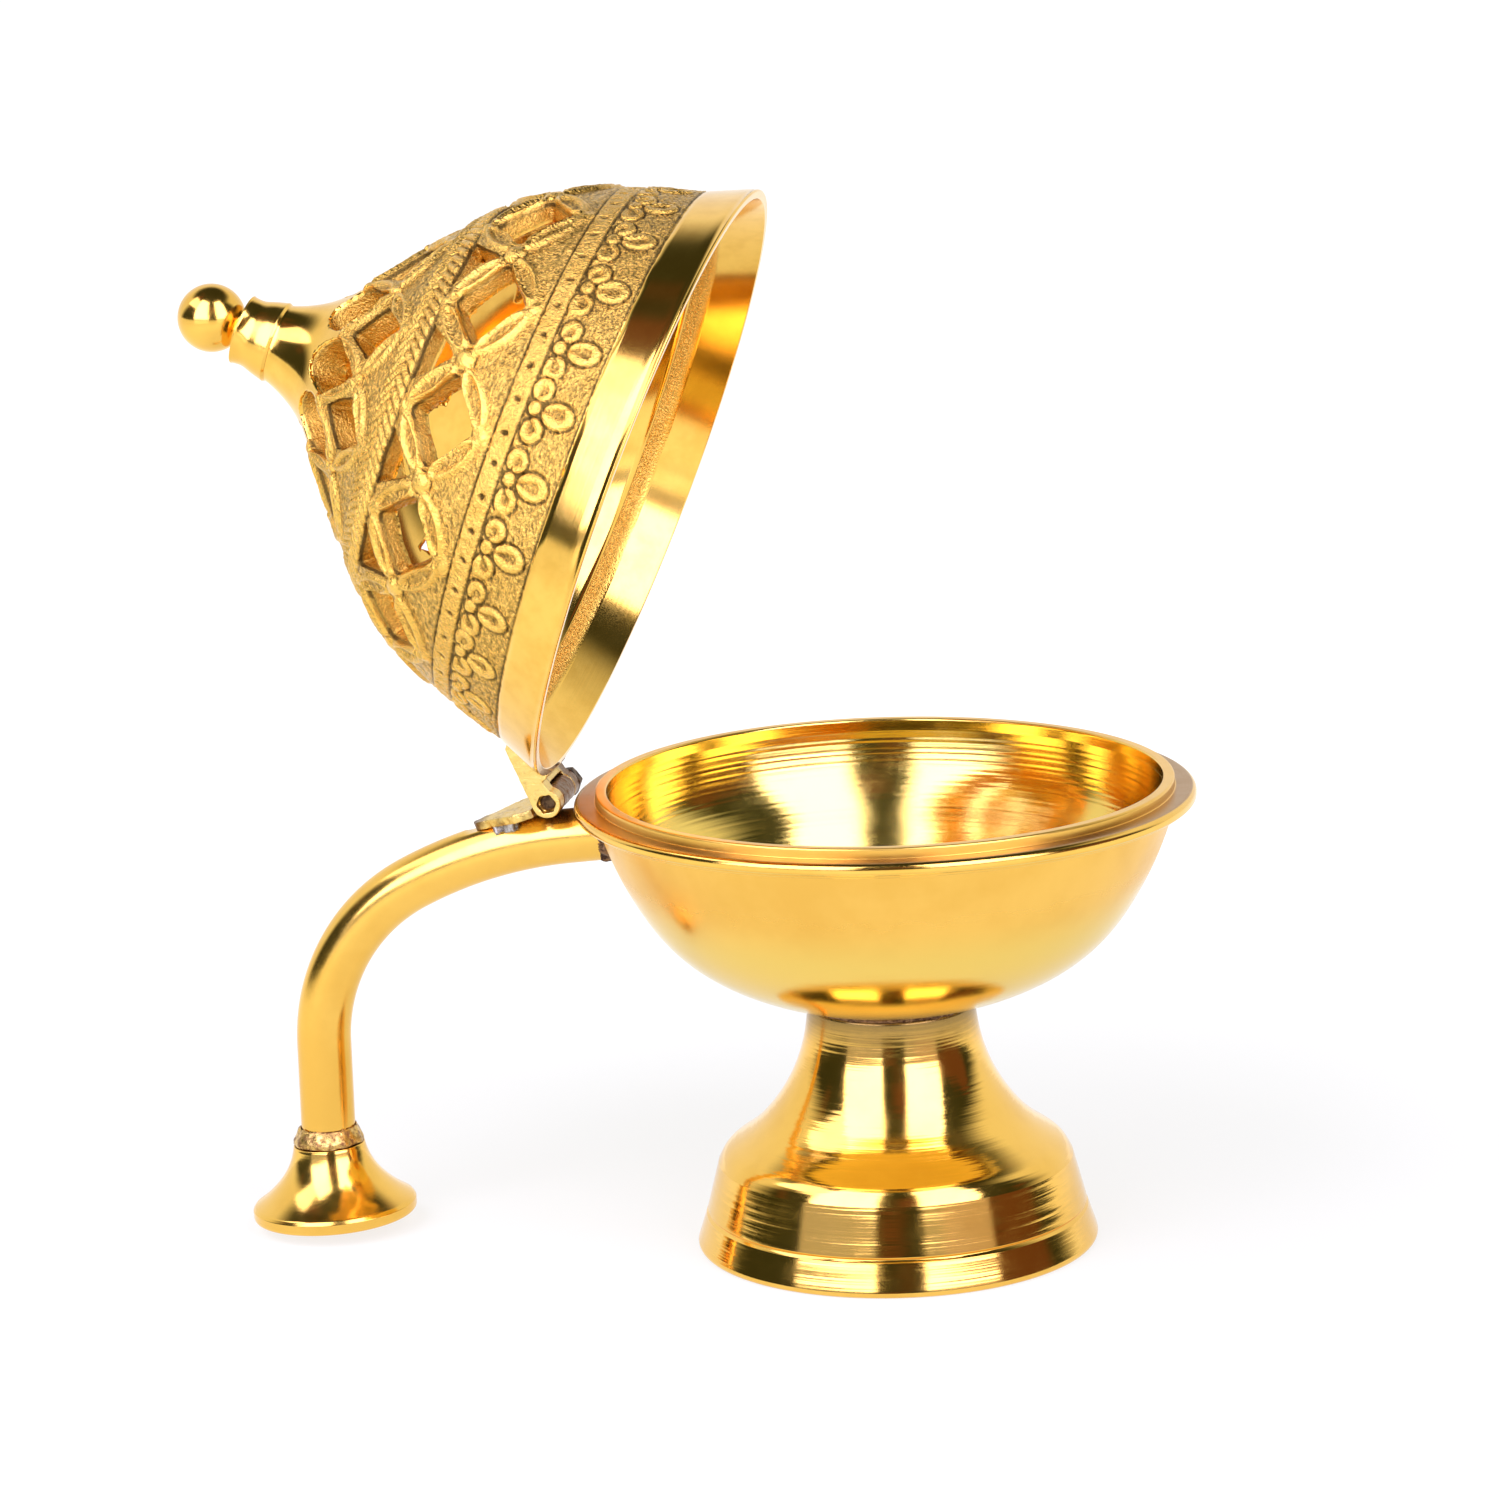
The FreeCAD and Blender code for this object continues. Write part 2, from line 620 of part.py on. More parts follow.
# ---- assembly -----------------------------------------------------------------------------
base = {
    "pedestal_foot": make_pedestal(),
    "pedestal_braze": make_pedestal_braze(),
    "bowl": make_bowl(),
    "handle_tube": make_tube(),
    "handle_bowl_braze": make_tube_braze(),
    "handle_foot": make_trumpet(),
    "handle_foot_braze": make_trumpet_braze(),
    "hinge_leaf": make_hinge_leaf(),
    "hinge_leaf_solder": make_leaf_solder(),
}
lid = {
    "lid_dome": make_dome(),
    "hinge_strap": make_strap(),
    "hinge_strap_braze": make_strap_braze(),
    "hinge_bolt": make_bolt(),
    "finial_collar": make_collar(),
    "finial_knob": make_knob(),
}
for shape in lid.values():
    shape.rotate(outward(hinge_reach, hinge_height), ACROSS, -open_angle)

os.makedirs("parts", exist_ok=True)
for name, shape in {**base, **lid}.items():
    shape.exportStep(f"parts/{name}.step")
    print(f"{name:20s} solids {len(shape.Solids)} valid {shape.isValid()} "
          f"volume {shape.Volume / 1000:8.3f} cm3")
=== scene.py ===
"""Looks for the footed brass incense burner: turned, cast, filed and brazed brass on the frame.

Shapes are drawn in millimetres in the part's own frame (+Z up, handle towards -X) and scaled
to metres as the meshes are made.  Lid pieces are drawn closed and then swung to the rest pose.
"""
import bmesh
import bpy
import math
import numpy as np
from mathutils import Matrix, Vector, noise


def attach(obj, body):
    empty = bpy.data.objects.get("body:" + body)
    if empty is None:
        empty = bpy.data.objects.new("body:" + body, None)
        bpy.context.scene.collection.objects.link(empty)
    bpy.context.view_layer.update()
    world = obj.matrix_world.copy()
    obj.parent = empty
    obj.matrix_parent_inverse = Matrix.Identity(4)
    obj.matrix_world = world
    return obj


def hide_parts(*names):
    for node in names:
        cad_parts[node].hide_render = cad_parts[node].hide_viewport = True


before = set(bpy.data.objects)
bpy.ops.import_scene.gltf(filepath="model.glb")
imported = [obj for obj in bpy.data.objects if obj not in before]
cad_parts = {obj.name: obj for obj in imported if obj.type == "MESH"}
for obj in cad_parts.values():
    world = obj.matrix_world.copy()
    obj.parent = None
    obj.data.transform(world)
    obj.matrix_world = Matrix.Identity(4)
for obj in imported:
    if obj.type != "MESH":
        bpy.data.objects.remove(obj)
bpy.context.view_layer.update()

MM = 0.001

# ---- sizes shared with the part, in millimetres ----
foot_radius = 31.3
plinth_top_radius = 27.4
plinth_height = 13.4
groove_height = 5.6
plinth_dip = 0.22           # the plinth is hollowed this much at its scribed line
neck_radius = 12.95
neck_chamfer = 0.45
pedestal_height = 38.3
bowl_bottom = pedestal_height + neck_chamfer
flange_radius = 47.5
flange_top = 71.4
flange_thickness = 1.8
lip_radius = 44.2
lip_top = 73.0
lip_inside = 42.4
wall_top_radius = 44.2
wall_top_height = 69.0
tube_radius = 4.25
tube_wall = 1.1
tube_start = (42.54, 64.44)
tube_bends = ((6.0, 28.2, 68.9), (28.2, 89.8, 29.5))
tube_end_height = 9.0
bowl_wall_at_tube = ((55, 37.7), (60, 39.9), (65, 42.0), (69, 43.2))    # height and radius
tongue_slope = 19.0
tongue_thickness = 1.3
seat_start = 2.2            # the tube is filed flat for the tongue between these distances
seat_end = 14.5             # from the hinge axis
trumpet_radius = 12.9
trumpet_height = 11.6
trumpet_tilt = 2.5
trumpet_clearance = 1.4
hinge_reach = 51.4
hinge_height = 70.3
open_angle = 69.0
rim_height = 71.5
rim_radius = 47.5
rim_land = 1.4
band_height = 8.2
band_top_radius = 44.2
rebate_radius = 42.8
rebate_depth = 8.7
rebate_step = 0.8
crown_inside = 50.0
neck_height = 61.6
neck_top_radius = 6.1
wall_under_dome = (2.4, 2.6, 2.9, 3.1, 3.2, 3.4, 3.8, 4.4)     # at tenths of the way up the dome
lattice_count = 12
lattice_turn = -4.7
crown_count = 9
crown_turn = 1.8
tenon_radius = 2.0
tenon_bottom = 53.5
collar_height = 6.1
stem_radius = 3.0
knob_radius = 5.25
knob_height = 72.8


# ---- curves ----
def smooth(points, leaving=None, arriving=None, spacing=0.5):
    """Closely spaced points on a smooth curve through the given (radius, height) points."""
    spots = np.array(points, float)
    chord = steps_of(spots)
    count = len(spots)
    matrix = np.zeros((count, count))
    right = np.zeros((count, 2))
    for i in range(1, count - 1):
        before, after = chord[i - 1], chord[i]
        matrix[i, i - 1:i + 2] = after, 2 * (before + after), before
        right[i] = 3 * (before * (spots[i + 1] - spots[i]) / after
                        + after * (spots[i] - spots[i - 1]) / before)
    if leaving is None:
        matrix[0, :2] = 2, 1
        right[0] = 3 * (spots[1] - spots[0]) / chord[0]
        matrix[-1, -2:] = 1, 2
        right[-1] = 3 * (spots[-1] - spots[-2]) / chord[-1]
    else:
        matrix[0, 0] = matrix[-1, -1] = 1
        right[0] = np.array(leaving) / np.hypot(*leaving)
        right[-1] = np.array(arriving) / np.hypot(*arriving)
    slopes = np.linalg.solve(matrix, right)
    found = []
    for i in range(count - 1):
        steps = max(2, int(round(chord[i] / spacing)))
        t = (np.arange(steps) / steps)[:, None]
        found.append((2 * t**3 - 3 * t**2 + 1) * spots[i] + (3 * t**2 - 2 * t**3) * spots[i + 1]
                     + (t**3 - 2 * t**2 + t) * chord[i] * slopes[i]
                     + (t**3 - t**2) * chord[i] * slopes[i + 1])
    found.append(spots[-1:])
    return np.vstack(found)


def corners(*points):
    """Straight runs through (radius, height) points; a third number rounds that corner."""
    spacing = 1.5
    guard = 0.12            # extra points this near each end keep the shading crisp
    shortest = 0.5          # on runs longer than this
    arc_steps = 6
    spots = [np.array(point[:2], float) for point in points]
    rounds = [point[2] if len(point) > 2 else 0.0 for point in points]
    path = [spots[0]]

    def run_to(end):
        start = path[-1]
        length = np.hypot(*(end - start))
        if length < 1e-9:
            return
        marks = [guard / length, 1 - guard / length] if length > shortest else []
        marks += list(np.arange(1, int(length / spacing) + 1) * spacing / length)
        for mark in sorted(m for m in marks if 0 < m < 1):
            path.append(start + (end - start) * mark)
        path.append(end)

    for index in range(1, len(spots)):
        corner = spots[index]
        if rounds[index] == 0.0:
            run_to(corner)
            continue
        back = spots[index - 1] - corner
        back /= np.hypot(*back)
        ahead = spots[index + 1] - corner
        ahead /= np.hypot(*ahead)
        half = math.acos(np.clip(back @ ahead, -1, 1)) / 2
        reach = rounds[index] / math.tan(half)
        middle = (back + ahead) / np.hypot(*(back + ahead))
        centre = corner + middle * rounds[index] / math.sin(half)
        run_to(corner + back * reach)
        first = path[-1] - centre
        last = corner + ahead * reach - centre
        turn = np.pi - 2 * half
        for step in range(1, arc_steps + 1):
            share = step / arc_steps
            point = math.sin((1 - share) * turn) * first + math.sin(share * turn) * last
            path.append(centre + point / math.sin(turn))
    return np.array(path)


def steps_of(path):
    """The lengths of a path's steps."""
    return np.hypot(*np.diff(path, axis=0).T)


def along_of(path):
    """Each point's distance along a path."""
    return np.concatenate([[0], np.cumsum(steps_of(path))])


def joined(*parts):
    """One outline from several stretches, without the repeated points."""
    path = np.vstack(parts)
    return path[np.concatenate([[True], steps_of(path) > 1e-6])]


def beside(path, gap):
    """Points at a distance to the left of a path; the gap may vary along it."""
    along = np.gradient(path, axis=0)
    along /= np.hypot(*along.T)[:, None]
    left = np.stack([-along[:, 1], along[:, 0]], 1)
    return path + left * np.reshape(gap, (-1, 1))


# ---- meshes ----
def vectors(mesh, what):
    """The places or normals of a mesh's points, one row each."""
    values = np.zeros(len(mesh.vertices) * 3)
    mesh.vertices.foreach_get(what, values)
    return values.reshape(-1, 3)


def settle(mesh, place=None):
    """Keep each point's place as drawn, in millimetres, for the materials, then move the mesh."""
    drawn = mesh.attributes.new("drawn", "FLOAT_VECTOR", "POINT")
    drawn.data.foreach_set("vector", (vectors(mesh, "co") / MM).ravel())
    if place is not None:
        mesh.transform(place)


def closed_mesh(name, points, faces):
    """A smooth-shaded mesh from points in millimetres, with its faces turned outward."""
    mesh = bpy.data.meshes.new(name)
    mesh.from_pydata((points * MM).tolist(), [], faces)
    facing = bmesh.new()
    facing.from_mesh(mesh)
    bmesh.ops.recalc_face_normals(facing, faces=facing.faces)
    facing.to_mesh(mesh)
    facing.free()
    mesh.shade_smooth()
    return mesh


def linked(name, data):
    """A new object in the scene."""
    thing = bpy.data.objects.new(name, data)
    bpy.context.scene.collection.objects.link(thing)
    return thing


def apply_modifiers(thing):
    """Replace an object's mesh by what its modifiers make of it, and return that."""
    shown = bpy.context.evaluated_depsgraph_get()
    shown.update()
    made = bpy.data.meshes.new_from_object(thing.evaluated_get(shown))
    before = thing.data
    thing.modifiers.clear()
    thing.data = made
    bpy.data.meshes.remove(before)
    made.name = thing.name
    return made


def belong(thing, body, nodes):
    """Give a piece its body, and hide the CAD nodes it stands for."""
    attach(thing, body)
    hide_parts(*nodes)


def piece(name, points, faces, body, nodes, slot, material, sharp=50.0):
    """A mesh object from points in millimetres, smooth-shaded except at sharp folds."""
    mesh = closed_mesh(name, points, faces)
    mesh.set_sharp_from_angle(angle=math.radians(sharp))
    mesh.materials.append(material)
    thing = linked(name, mesh)
    belong(thing, body, nodes)
    return thing


def polar(radius, turn, height):
    """Points at angles round the axis."""
    return np.stack(np.broadcast_arrays(radius * np.cos(turn), radius * np.sin(turn), height), 1)


def ring_of(count, radius, height):
    """Evenly spaced points round the axis."""
    return polar(radius, np.arange(count) * 2 * np.pi / count, height)


def zipped(low, high):
    """Faces between two rings of point numbers, which may have different counts."""
    low_next = low[1:] + low[:1]
    high_next = high[1:] + high[:1]
    if len(low) == len(high):
        return list(zip(low, low_next, high_next, high)) if len(low) > 1 else []
    if len(low) == 1:
        return [(low[0], after, this) for this, after in zip(high, high_next)]
    if len(high) == 1:
        return [(this, after, high[0]) for this, after in zip(low, low_next)]
    faces = []
    i = j = 0
    while i < len(low) or j < len(high):
        if j >= len(high) or (i < len(low) and (i + 1) / len(low) <= (j + 1) / len(high)):
            faces.append((low[i], low_next[i], high[j % len(high)]))
            i += 1
        else:
            faces.append((low[i % len(low)], high_next[j], high[j]))
            j += 1
    return faces


def skin(rings):
    """Points and faces of a closed surface through rings of points, the last joined to the first."""
    starts = np.concatenate([[0], np.cumsum([len(ring) for ring in rings])])
    numbers = [list(range(first, last)) for first, last in zip(starts, starts[1:])]
    faces = []
    for low, high in zip(numbers, numbers[1:] + numbers[:1]):
        faces += zipped(low, high)
    return np.vstack(rings), faces


def turned_piece(name, outline, count, body, node, material, place=None):
    """A brass piece turned about Z from an outline; ends on the axis close to one point."""
    rings = [ring_of(count if radius > 0 else 1, radius, height) for radius, height in outline]
    thing = piece(name, *skin(rings), body, [node], "turned_brass", material)
    settle(thing.data, place)


hinge = Vector((-hinge_reach, 0, hinge_height))
swing = (Matrix.Translation(hinge * MM) @ Matrix.Rotation(math.radians(-open_angle), 4, "Y")
         @ Matrix.Translation(-hinge * MM))


# ---- materials ----
def feed(tree, socket, value):
    """Link or set a shader input."""
    if isinstance(value, bpy.types.NodeSocket):
        tree.links.new(value, socket)
    else:
        socket.default_value = value


def add(tree, kind, settings=None, **inputs):
    """Add a shader node; inputs are values or sockets, named with _ for spaces or numbered."""
    made = tree.nodes.new("ShaderNode" + kind)
    for key, value in (settings or {}).items():
        setattr(made, key, value)
    for key, value in inputs.items():
        where = int(key[3:]) if key.startswith("in_") else key.replace("_", " ")
        feed(tree, made.inputs[where], value)
    return made


def maths(tree, operation, first, second=0.0, third=0.0):
    """A Math node's result."""
    return add(tree, "Math", {"operation": operation}, in_0=first, in_1=second, in_2=third).outputs[0]


def scaled(tree, value, factor, extra):
    """A value times a factor, plus another value."""
    return maths(tree, "MULTIPLY_ADD", value, factor, extra)


def blend(tree, share, first, second):
    """A colour between two others."""
    mixed = add(tree, "Mix", {"data_type": "RGBA"})
    for name, value in (("Factor_Float", share), ("A_Color", first), ("B_Color", second)):
        feed(tree, next(s for s in mixed.inputs if s.identifier == name), value)
    return next(s for s in mixed.outputs if s.identifier == "Result_Color")


def ramp(tree, value, low, high, start=0.0, end=1.0):
    """A value stretched from low..high to start..end, with soft ends."""
    return add(tree, "MapRange", {"interpolation_type": "SMOOTHSTEP"}, Value=value,
               From_Min=low, From_Max=high, To_Min=start, To_Max=end).outputs[0]


def attribute(tree, name, output="Fac"):
    """A value or a vector kept on the mesh's points."""
    return add(tree, "Attribute", {"attribute_name": name}).outputs[output]


def measure(tree, operation, first, second=(0, 0, 0)):
    """A Vector Math node's result where that is a number."""
    return add(tree, "VectorMath", {"operation": operation}, in_0=first, in_1=second).outputs["Value"]


def round_axis(tree, place, stretch=1.0):
    """Distance from the turning axis and height, then a vector of those and the angle round it."""
    parts = add(tree, "SeparateXYZ", in_0=place).outputs
    flat = add(tree, "CombineXYZ", X=parts[0], Y=parts[1], Z=0.0).outputs[0]
    radius = measure(tree, "LENGTH", flat)
    angle = maths(tree, "ARCTAN2", parts[1], parts[0])
    rings = add(tree, "CombineXYZ", X=radius, Y=parts[2],
                Z=maths(tree, "MULTIPLY", angle, stretch)).outputs[0]
    return radius, parts[2], rings


def noise_of(tree, vector, scale, detail=3.0, rough=0.55):
    """A noise value about one half."""
    return add(tree, "TexNoise", Vector=vector, Scale=scale, Detail=detail, Roughness=rough).outputs[0]


def bump(tree, height, depth, **under):
    """A bump of the given depth in millimetres for a height from 0 to 1, on another as Normal."""
    return add(tree, "Bump", Distance=depth * MM, Height=height, **under).outputs[0]


def new_material(name):
    """A material with one metal shader, its node tree, and the piece's points as drawn, in mm."""
    material = bpy.data.materials.new(name)
    material.use_nodes = True
    tree = surface(material, Metallic=1.0).node_tree
    return material, tree, attribute(tree, "drawn", "Vector")


def surface(material, **looks):
    """Feed the inputs of a material's shader, named with _ for spaces, and return the material."""
    for name, value in looks.items():
        shader = material.node_tree.nodes["Principled BSDF"]
        feed(material.node_tree, shader.inputs[name.replace("_", " ")], value)
    return material


bright = (0.93, 0.565, 0.115, 1)
deep = (0.86, 0.50, 0.09, 1)
brown = (0.30, 0.19, 0.06, 1)
painted_sheen_tone = (0.87, 0.61, 0.14, 1)
tan = (0.46, 0.27, 0.11, 1)
filed = (0.86, 0.60, 0.17, 1)
sooty = (0.20, 0.10, 0.035, 1)
sand_and_shade_colour = (0.13, 0.08, 0.02, 1)
bowl_satin = 0.17


def turned_brass(name, rough=0.11, line_depth=0.006, lines_per_mm=2.2, ripple=0.012, satin=0.0,
                 stain_and_shade_low=1e4, stain_and_shade_high=2e4):
    """Polished brass with lathe lines round the piece's own axis, duller on its outer side,
    darkened above a height: flame discolouring on the pedestal, painted shade atop the tube."""
    material, tree, place = new_material(name)
    height, rings = round_axis(tree, place, 0.35)[1:]
    fine = noise_of(tree, rings, lines_per_mm, 6.0, 0.7)
    broad = noise_of(tree, rings, 0.8, 2.0)
    patches = noise_of(tree, place, 0.06, 4.0, 0.6)
    smudge = noise_of(tree, place, 0.22, 5.0, 0.65)
    tone = blend(tree, ramp(tree, patches, 0.35, 0.7), bright, deep)
    streak = scaled(tree, fine, 3.0, maths(tree, "ADD", height, smudge))
    # brown above a height: real flame discolouring on the pedestal's neck, painted shade on the tube's top
    stain_and_shade = ramp(tree, streak, stain_and_shade_low, stain_and_shade_high)
    gloss = scaled(tree, ramp(tree, smudge, 0.4, 0.8), 0.08, rough)
    gloss = scaled(tree, stain_and_shade, 0.15, gloss)
    gloss = scaled(tree, ramp(tree, fine, 0.5, 0.8), 0.06, gloss)
    normal = add(tree, "TexCoord").outputs["Normal"]
    outward = measure(tree, "DOT_PRODUCT", place, normal)
    gloss = scaled(tree, ramp(tree, outward, 5.0, 15.0), satin, gloss)
    return surface(material, Base_Color=blend(tree, stain_and_shade, tone, brown), Roughness=gloss,
                   Normal=bump(tree, fine, line_depth, Normal=bump(tree, broad, ripple)))


def bowl_painted_sheen_and_flange(material):
    """Make the metal lighter inside the bowl as a painted highlight, the flange bright edged and brown on
    top.
    """
    tree = material.node_tree
    tone, gloss = (tree.nodes["Principled BSDF"].inputs[name].links[0].from_socket
                   for name in ("Base Color", "Roughness"))
    place = tree.nodes["Attribute"].outputs["Vector"]
    normal = tree.nodes["Texture Coordinate"].outputs["Normal"]
    outward = measure(tree, "DOT_PRODUCT", place, normal)
    # painted highlight: a lighter, creamier tone inside the bowl than outside, standing in for its
    # reflections
    tone = blend(tree, ramp(tree, outward, 12.0, 0.0), tone, painted_sheen_tone)
    upward = add(tree, "SeparateXYZ", in_0=normal).outputs[2]
    flange = ramp(tree, round_axis(tree, place)[0], lip_radius, lip_radius + 0.3)
    ledge = maths(tree, "MULTIPLY", ramp(tree, upward, 0.85, 0.98), flange)
    gloss = scaled(tree, flange, -bowl_satin, gloss)
    gloss = scaled(tree, ledge, 0.2, gloss)
    surface(material, Base_Color=blend(tree, ledge, tone, tan), Roughness=gloss)


def rough_brass(name, light, dark, rough, lump, lumps_per_mm, speck=0.5):
    """Unpolished metal: lumpy, blotched with flux and soot."""
    material, tree, place = new_material(name)
    blotch = noise_of(tree, place, 0.9, 5.0, 0.7)
    speckle = noise_of(tree, place, 5.0, 4.0, 0.7)
    share = scaled(tree, ramp(tree, speckle, 0.45, 0.65), speck, ramp(tree, blotch, 0.4, 0.65))
    share = maths(tree, "MINIMUM", share, 1.0)
    lumps = noise_of(tree, place, lumps_per_mm, 5.0, 0.65)
    return surface(material, Base_Color=blend(tree, share, light, dark),
                   Roughness=scaled(tree, share, 0.25, rough), Normal=bump(tree, lumps, lump))


def filed_brass(name, way, clean, soot_from, soot_to):
    """Sawn and filed brass: bright, with short file strokes, sooty away from a clean place."""
    material, tree, place = new_material(name)
    stretched = add(tree, "Mapping", Vector=place, Rotation=(0.0, 0.35, 0.0),
                    Scale=(0.35, 4.0, 2.5)).outputs[0]
    strokes = noise_of(tree, stretched, 1.3, 4.0, 0.7)
    blotch = noise_of(tree, place, 0.35, 4.0, 0.65)
    along = measure(tree, "DOT_PRODUCT", place, way)
    away = maths(tree, "ABSOLUTE", maths(tree, "SUBTRACT", along, clean))
    side = scaled(tree, blotch, 4.0, maths(tree, "SUBTRACT", away, 2.0))
    share = maths(tree, "MULTIPLY", ramp(tree, blotch, 0.52, 0.7), 0.7)
    share = maths(tree, "MAXIMUM", share, ramp(tree, side, soot_from, soot_to))
    return surface(material, Base_Color=blend(tree, share, filed, sooty),
                   Roughness=scaled(tree, strokes, 0.25, 0.17), Normal=bump(tree, strokes, 0.06))


def cast_brass(name):
    """Cast brass: bright on what stands out, sandy where left rough, dark in the recesses: mould sand
    there, deepened as painted shade.
    """
    material, tree, place = new_material(name)
    fine = noise_of(tree, round_axis(tree, place, 0.4)[2], 2.4, 6.0, 0.7)
    sand = noise_of(tree, place, 2.5, 3.0, 0.62)
    blotch = noise_of(tree, place, 0.25, 4.0, 0.6)
    sandy = attribute(tree, "sandy")
    level = scaled(tree, maths(tree, "SUBTRACT", sand, 0.5), 0.35, attribute(tree, "raised"))
    worn = ramp(tree, level, -0.27, 0.17)
    # painted shade: recesses and window walls get a mould sand dark deeper than the sand alone, standing
    # in for shade
    sand_and_shade = maths(tree, "MULTIPLY", maths(tree, "SUBTRACT", 0.94, worn), sandy)
    sand_and_shade = maths(tree, "MAXIMUM", sand_and_shade, 0.0)
    tone = blend(tree, ramp(tree, blotch, 0.35, 0.7), bright, deep)
    gloss = scaled(tree, sand_and_shade, 0.10, scaled(tree, sandy, 0.05, 0.12))
    lines = bump(tree, maths(tree, "MULTIPLY", fine, maths(tree, "SUBTRACT", 1.0, sandy)), 0.006)
    grains = maths(tree, "MULTIPLY", sand, sandy)
    return surface(material, Base_Color=blend(tree, sand_and_shade, tone, sand_and_shade_colour), Roughness=gloss,
                   Normal=bump(tree, grains, 0.40, Normal=lines))


polished = turned_brass("polished_brass", rough=0.135)
bowl_metal = turned_brass("bowl_brass", rough=0.11, line_depth=0.013, lines_per_mm=3.0,
                          satin=bowl_satin)
bowl_painted_sheen_and_flange(bowl_metal)
pedestal_metal = turned_brass("pedestal_brass", rough=0.09, line_depth=0.008, lines_per_mm=2.6,
                              ripple=0.065, stain_and_shade_low=33.5, stain_and_shade_high=40.5)
# the brown on the tube's top is painted shade under the flange and the hinge tongue
tube_metal = turned_brass("tube_brass", rough=0.17, line_depth=0.001, ripple=0.004,
                          stain_and_shade_low=67.3, stain_and_shade_high=70.2)
lid_metal = cast_brass("cast_brass")
strap_metal = filed_brass("filed_brass", way=(0, 1, 0), clean=-10.0, soot_from=12.0, soot_to=15.0)
tongue_metal = filed_brass("tongue_brass", way=(-1, 0, 0), clean=58.2, soot_from=3.2, soot_to=5.8)
braze_metal = rough_brass("braze", (0.30, 0.17, 0.08, 1), (0.06, 0.03, 0.02, 1), 0.38, 0.16, 1.6)
collar_metal = rough_brass("foot_braze", (0.78, 0.50, 0.14, 1), (0.24, 0.11, 0.04, 1),
                           0.24, 0.08, 1.3, speck=0.25)
solder_metal = rough_brass("solder", (0.62, 0.60, 0.56, 1), (0.20, 0.15, 0.09, 1), 0.34, 0.2, 1.1)
bolt_metal = rough_brass("bolt_steel", (0.14, 0.085, 0.04, 1), (0.05, 0.03, 0.018, 1), 0.40, 0.05, 2.5)


# ---- pedestal and bowl ----
def make_pedestal():
    """Hollow turned pedestal: plinth cone with a scribed line, sharp edge and trumpet flare."""
    slope = (plinth_top_radius - foot_radius) / plinth_height

    def cone(height):
        """The plinth's radius, a little hollow towards the scribed line."""
        dip = min(height / groove_height, (plinth_height - height) / (plinth_height - groove_height))
        return foot_radius + slope * height - plinth_dip * dip

    flare = smooth([(neck_radius, pedestal_height - neck_chamfer), (13.8, 32.1), (15.5, 27.3),
                    (18.3, 22.6), (21.5, 18.95), (24.4, 16.7), (26.2, 15.3),
                    (plinth_top_radius - 0.1, plinth_height + 0.14)],
                   leaving=(0.05, -1.0), arriving=(0.45, -1.0), spacing=0.35)
    outer = corners((0, pedestal_height), (neck_radius - neck_chamfer, pedestal_height),
                    (neck_radius, pedestal_height - neck_chamfer))
    plinth = corners((plinth_top_radius - 0.1, plinth_height + 0.14),
                     (plinth_top_radius + 0.03, plinth_height - 0.08, 0.08),
                     (cone(groove_height + 0.4), groove_height + 0.4, 0.1),
                     (cone(groove_height) - 0.32, groove_height, 0.12),
                     (cone(groove_height - 0.4), groove_height - 0.4, 0.1),
                     (foot_radius, 0, 0.8), (28.7, 0, 0.2), (25.2, 12.0))
    hollow = smooth([(25.2, 12.0), (19.0, 17.6), (14.6, 23.0), (11.9, 28.5), (10.4, 34.0)])
    crown = corners((10.4, 34.0), (0, 34.0))
    outline = joined(outer, flare, plinth, hollow, crown)
    turned_piece("pedestal", outline, 256, "base", "pedestal_foot", pedestal_metal)


def make_bowl():
    """Turned bowl: flange, upstanding lip and lathe ripples left inside near the mouth."""
    ripple_depth = 0.007
    rise = smooth([(neck_radius, bowl_bottom), (18.1, 39.95), (25.1, 42.75), (30.0, 45.7),
                   (34.6, 49.9), (38.0, 54.6), (40.9, 59.9), (43.0, 65.0),
                   (wall_top_radius, wall_top_height)],
                  leaving=(1.0, 0.12), arriving=(0.22, 1.0))
    wall = beside(rise, np.interp(np.arange(len(rise)), [0, 8, 22, len(rise)], [2.6, 2.6, 2.2, 2.2]))
    lower = [tuple(p) for p in wall[10:-8:9] if p[1] < 58.0]
    inner = smooth([(0, 40.85)] + lower + [(39.55, 61.0), (40.95, 64.0), (41.8, 67.3),
                                           (lip_inside, flange_top)],
                   leaving=(1.0, 0.0), arriving=(0.05, 1.0), spacing=0.16)
    share = np.clip((inner[:, 1] - 52.0) / 12.0, 0, 1)
    steps = np.sin(inner[:, 1] * 2 * np.pi / 0.95) + 0.6 * np.sin(inner[:, 1] * 2 * np.pi / 0.61 + 1)
    inner = beside(inner, ripple_depth * share * steps)
    inner[0, 0] = 0.0
    under = corners((0, pedestal_height), (neck_radius - neck_chamfer, pedestal_height),
                    (neck_radius, bowl_bottom))
    flange = corners((wall_top_radius, wall_top_height), (46.5, 69.1, 0.25),
                     (46.7, flange_top - flange_thickness, 0.15),
                     (flange_radius, flange_top - flange_thickness, 0.5),
                     (flange_radius, flange_top, 0.9),
                     (lip_radius, flange_top, 0.12),
                     (lip_radius, lip_top, 0.35), (lip_inside, lip_top, 0.35),
                     (lip_inside, flange_top))
    outline = joined(under, rise, flange, inner[::-1])
    turned_piece("bowl_turned", outline, 360, "base", "bowl", bowl_metal)


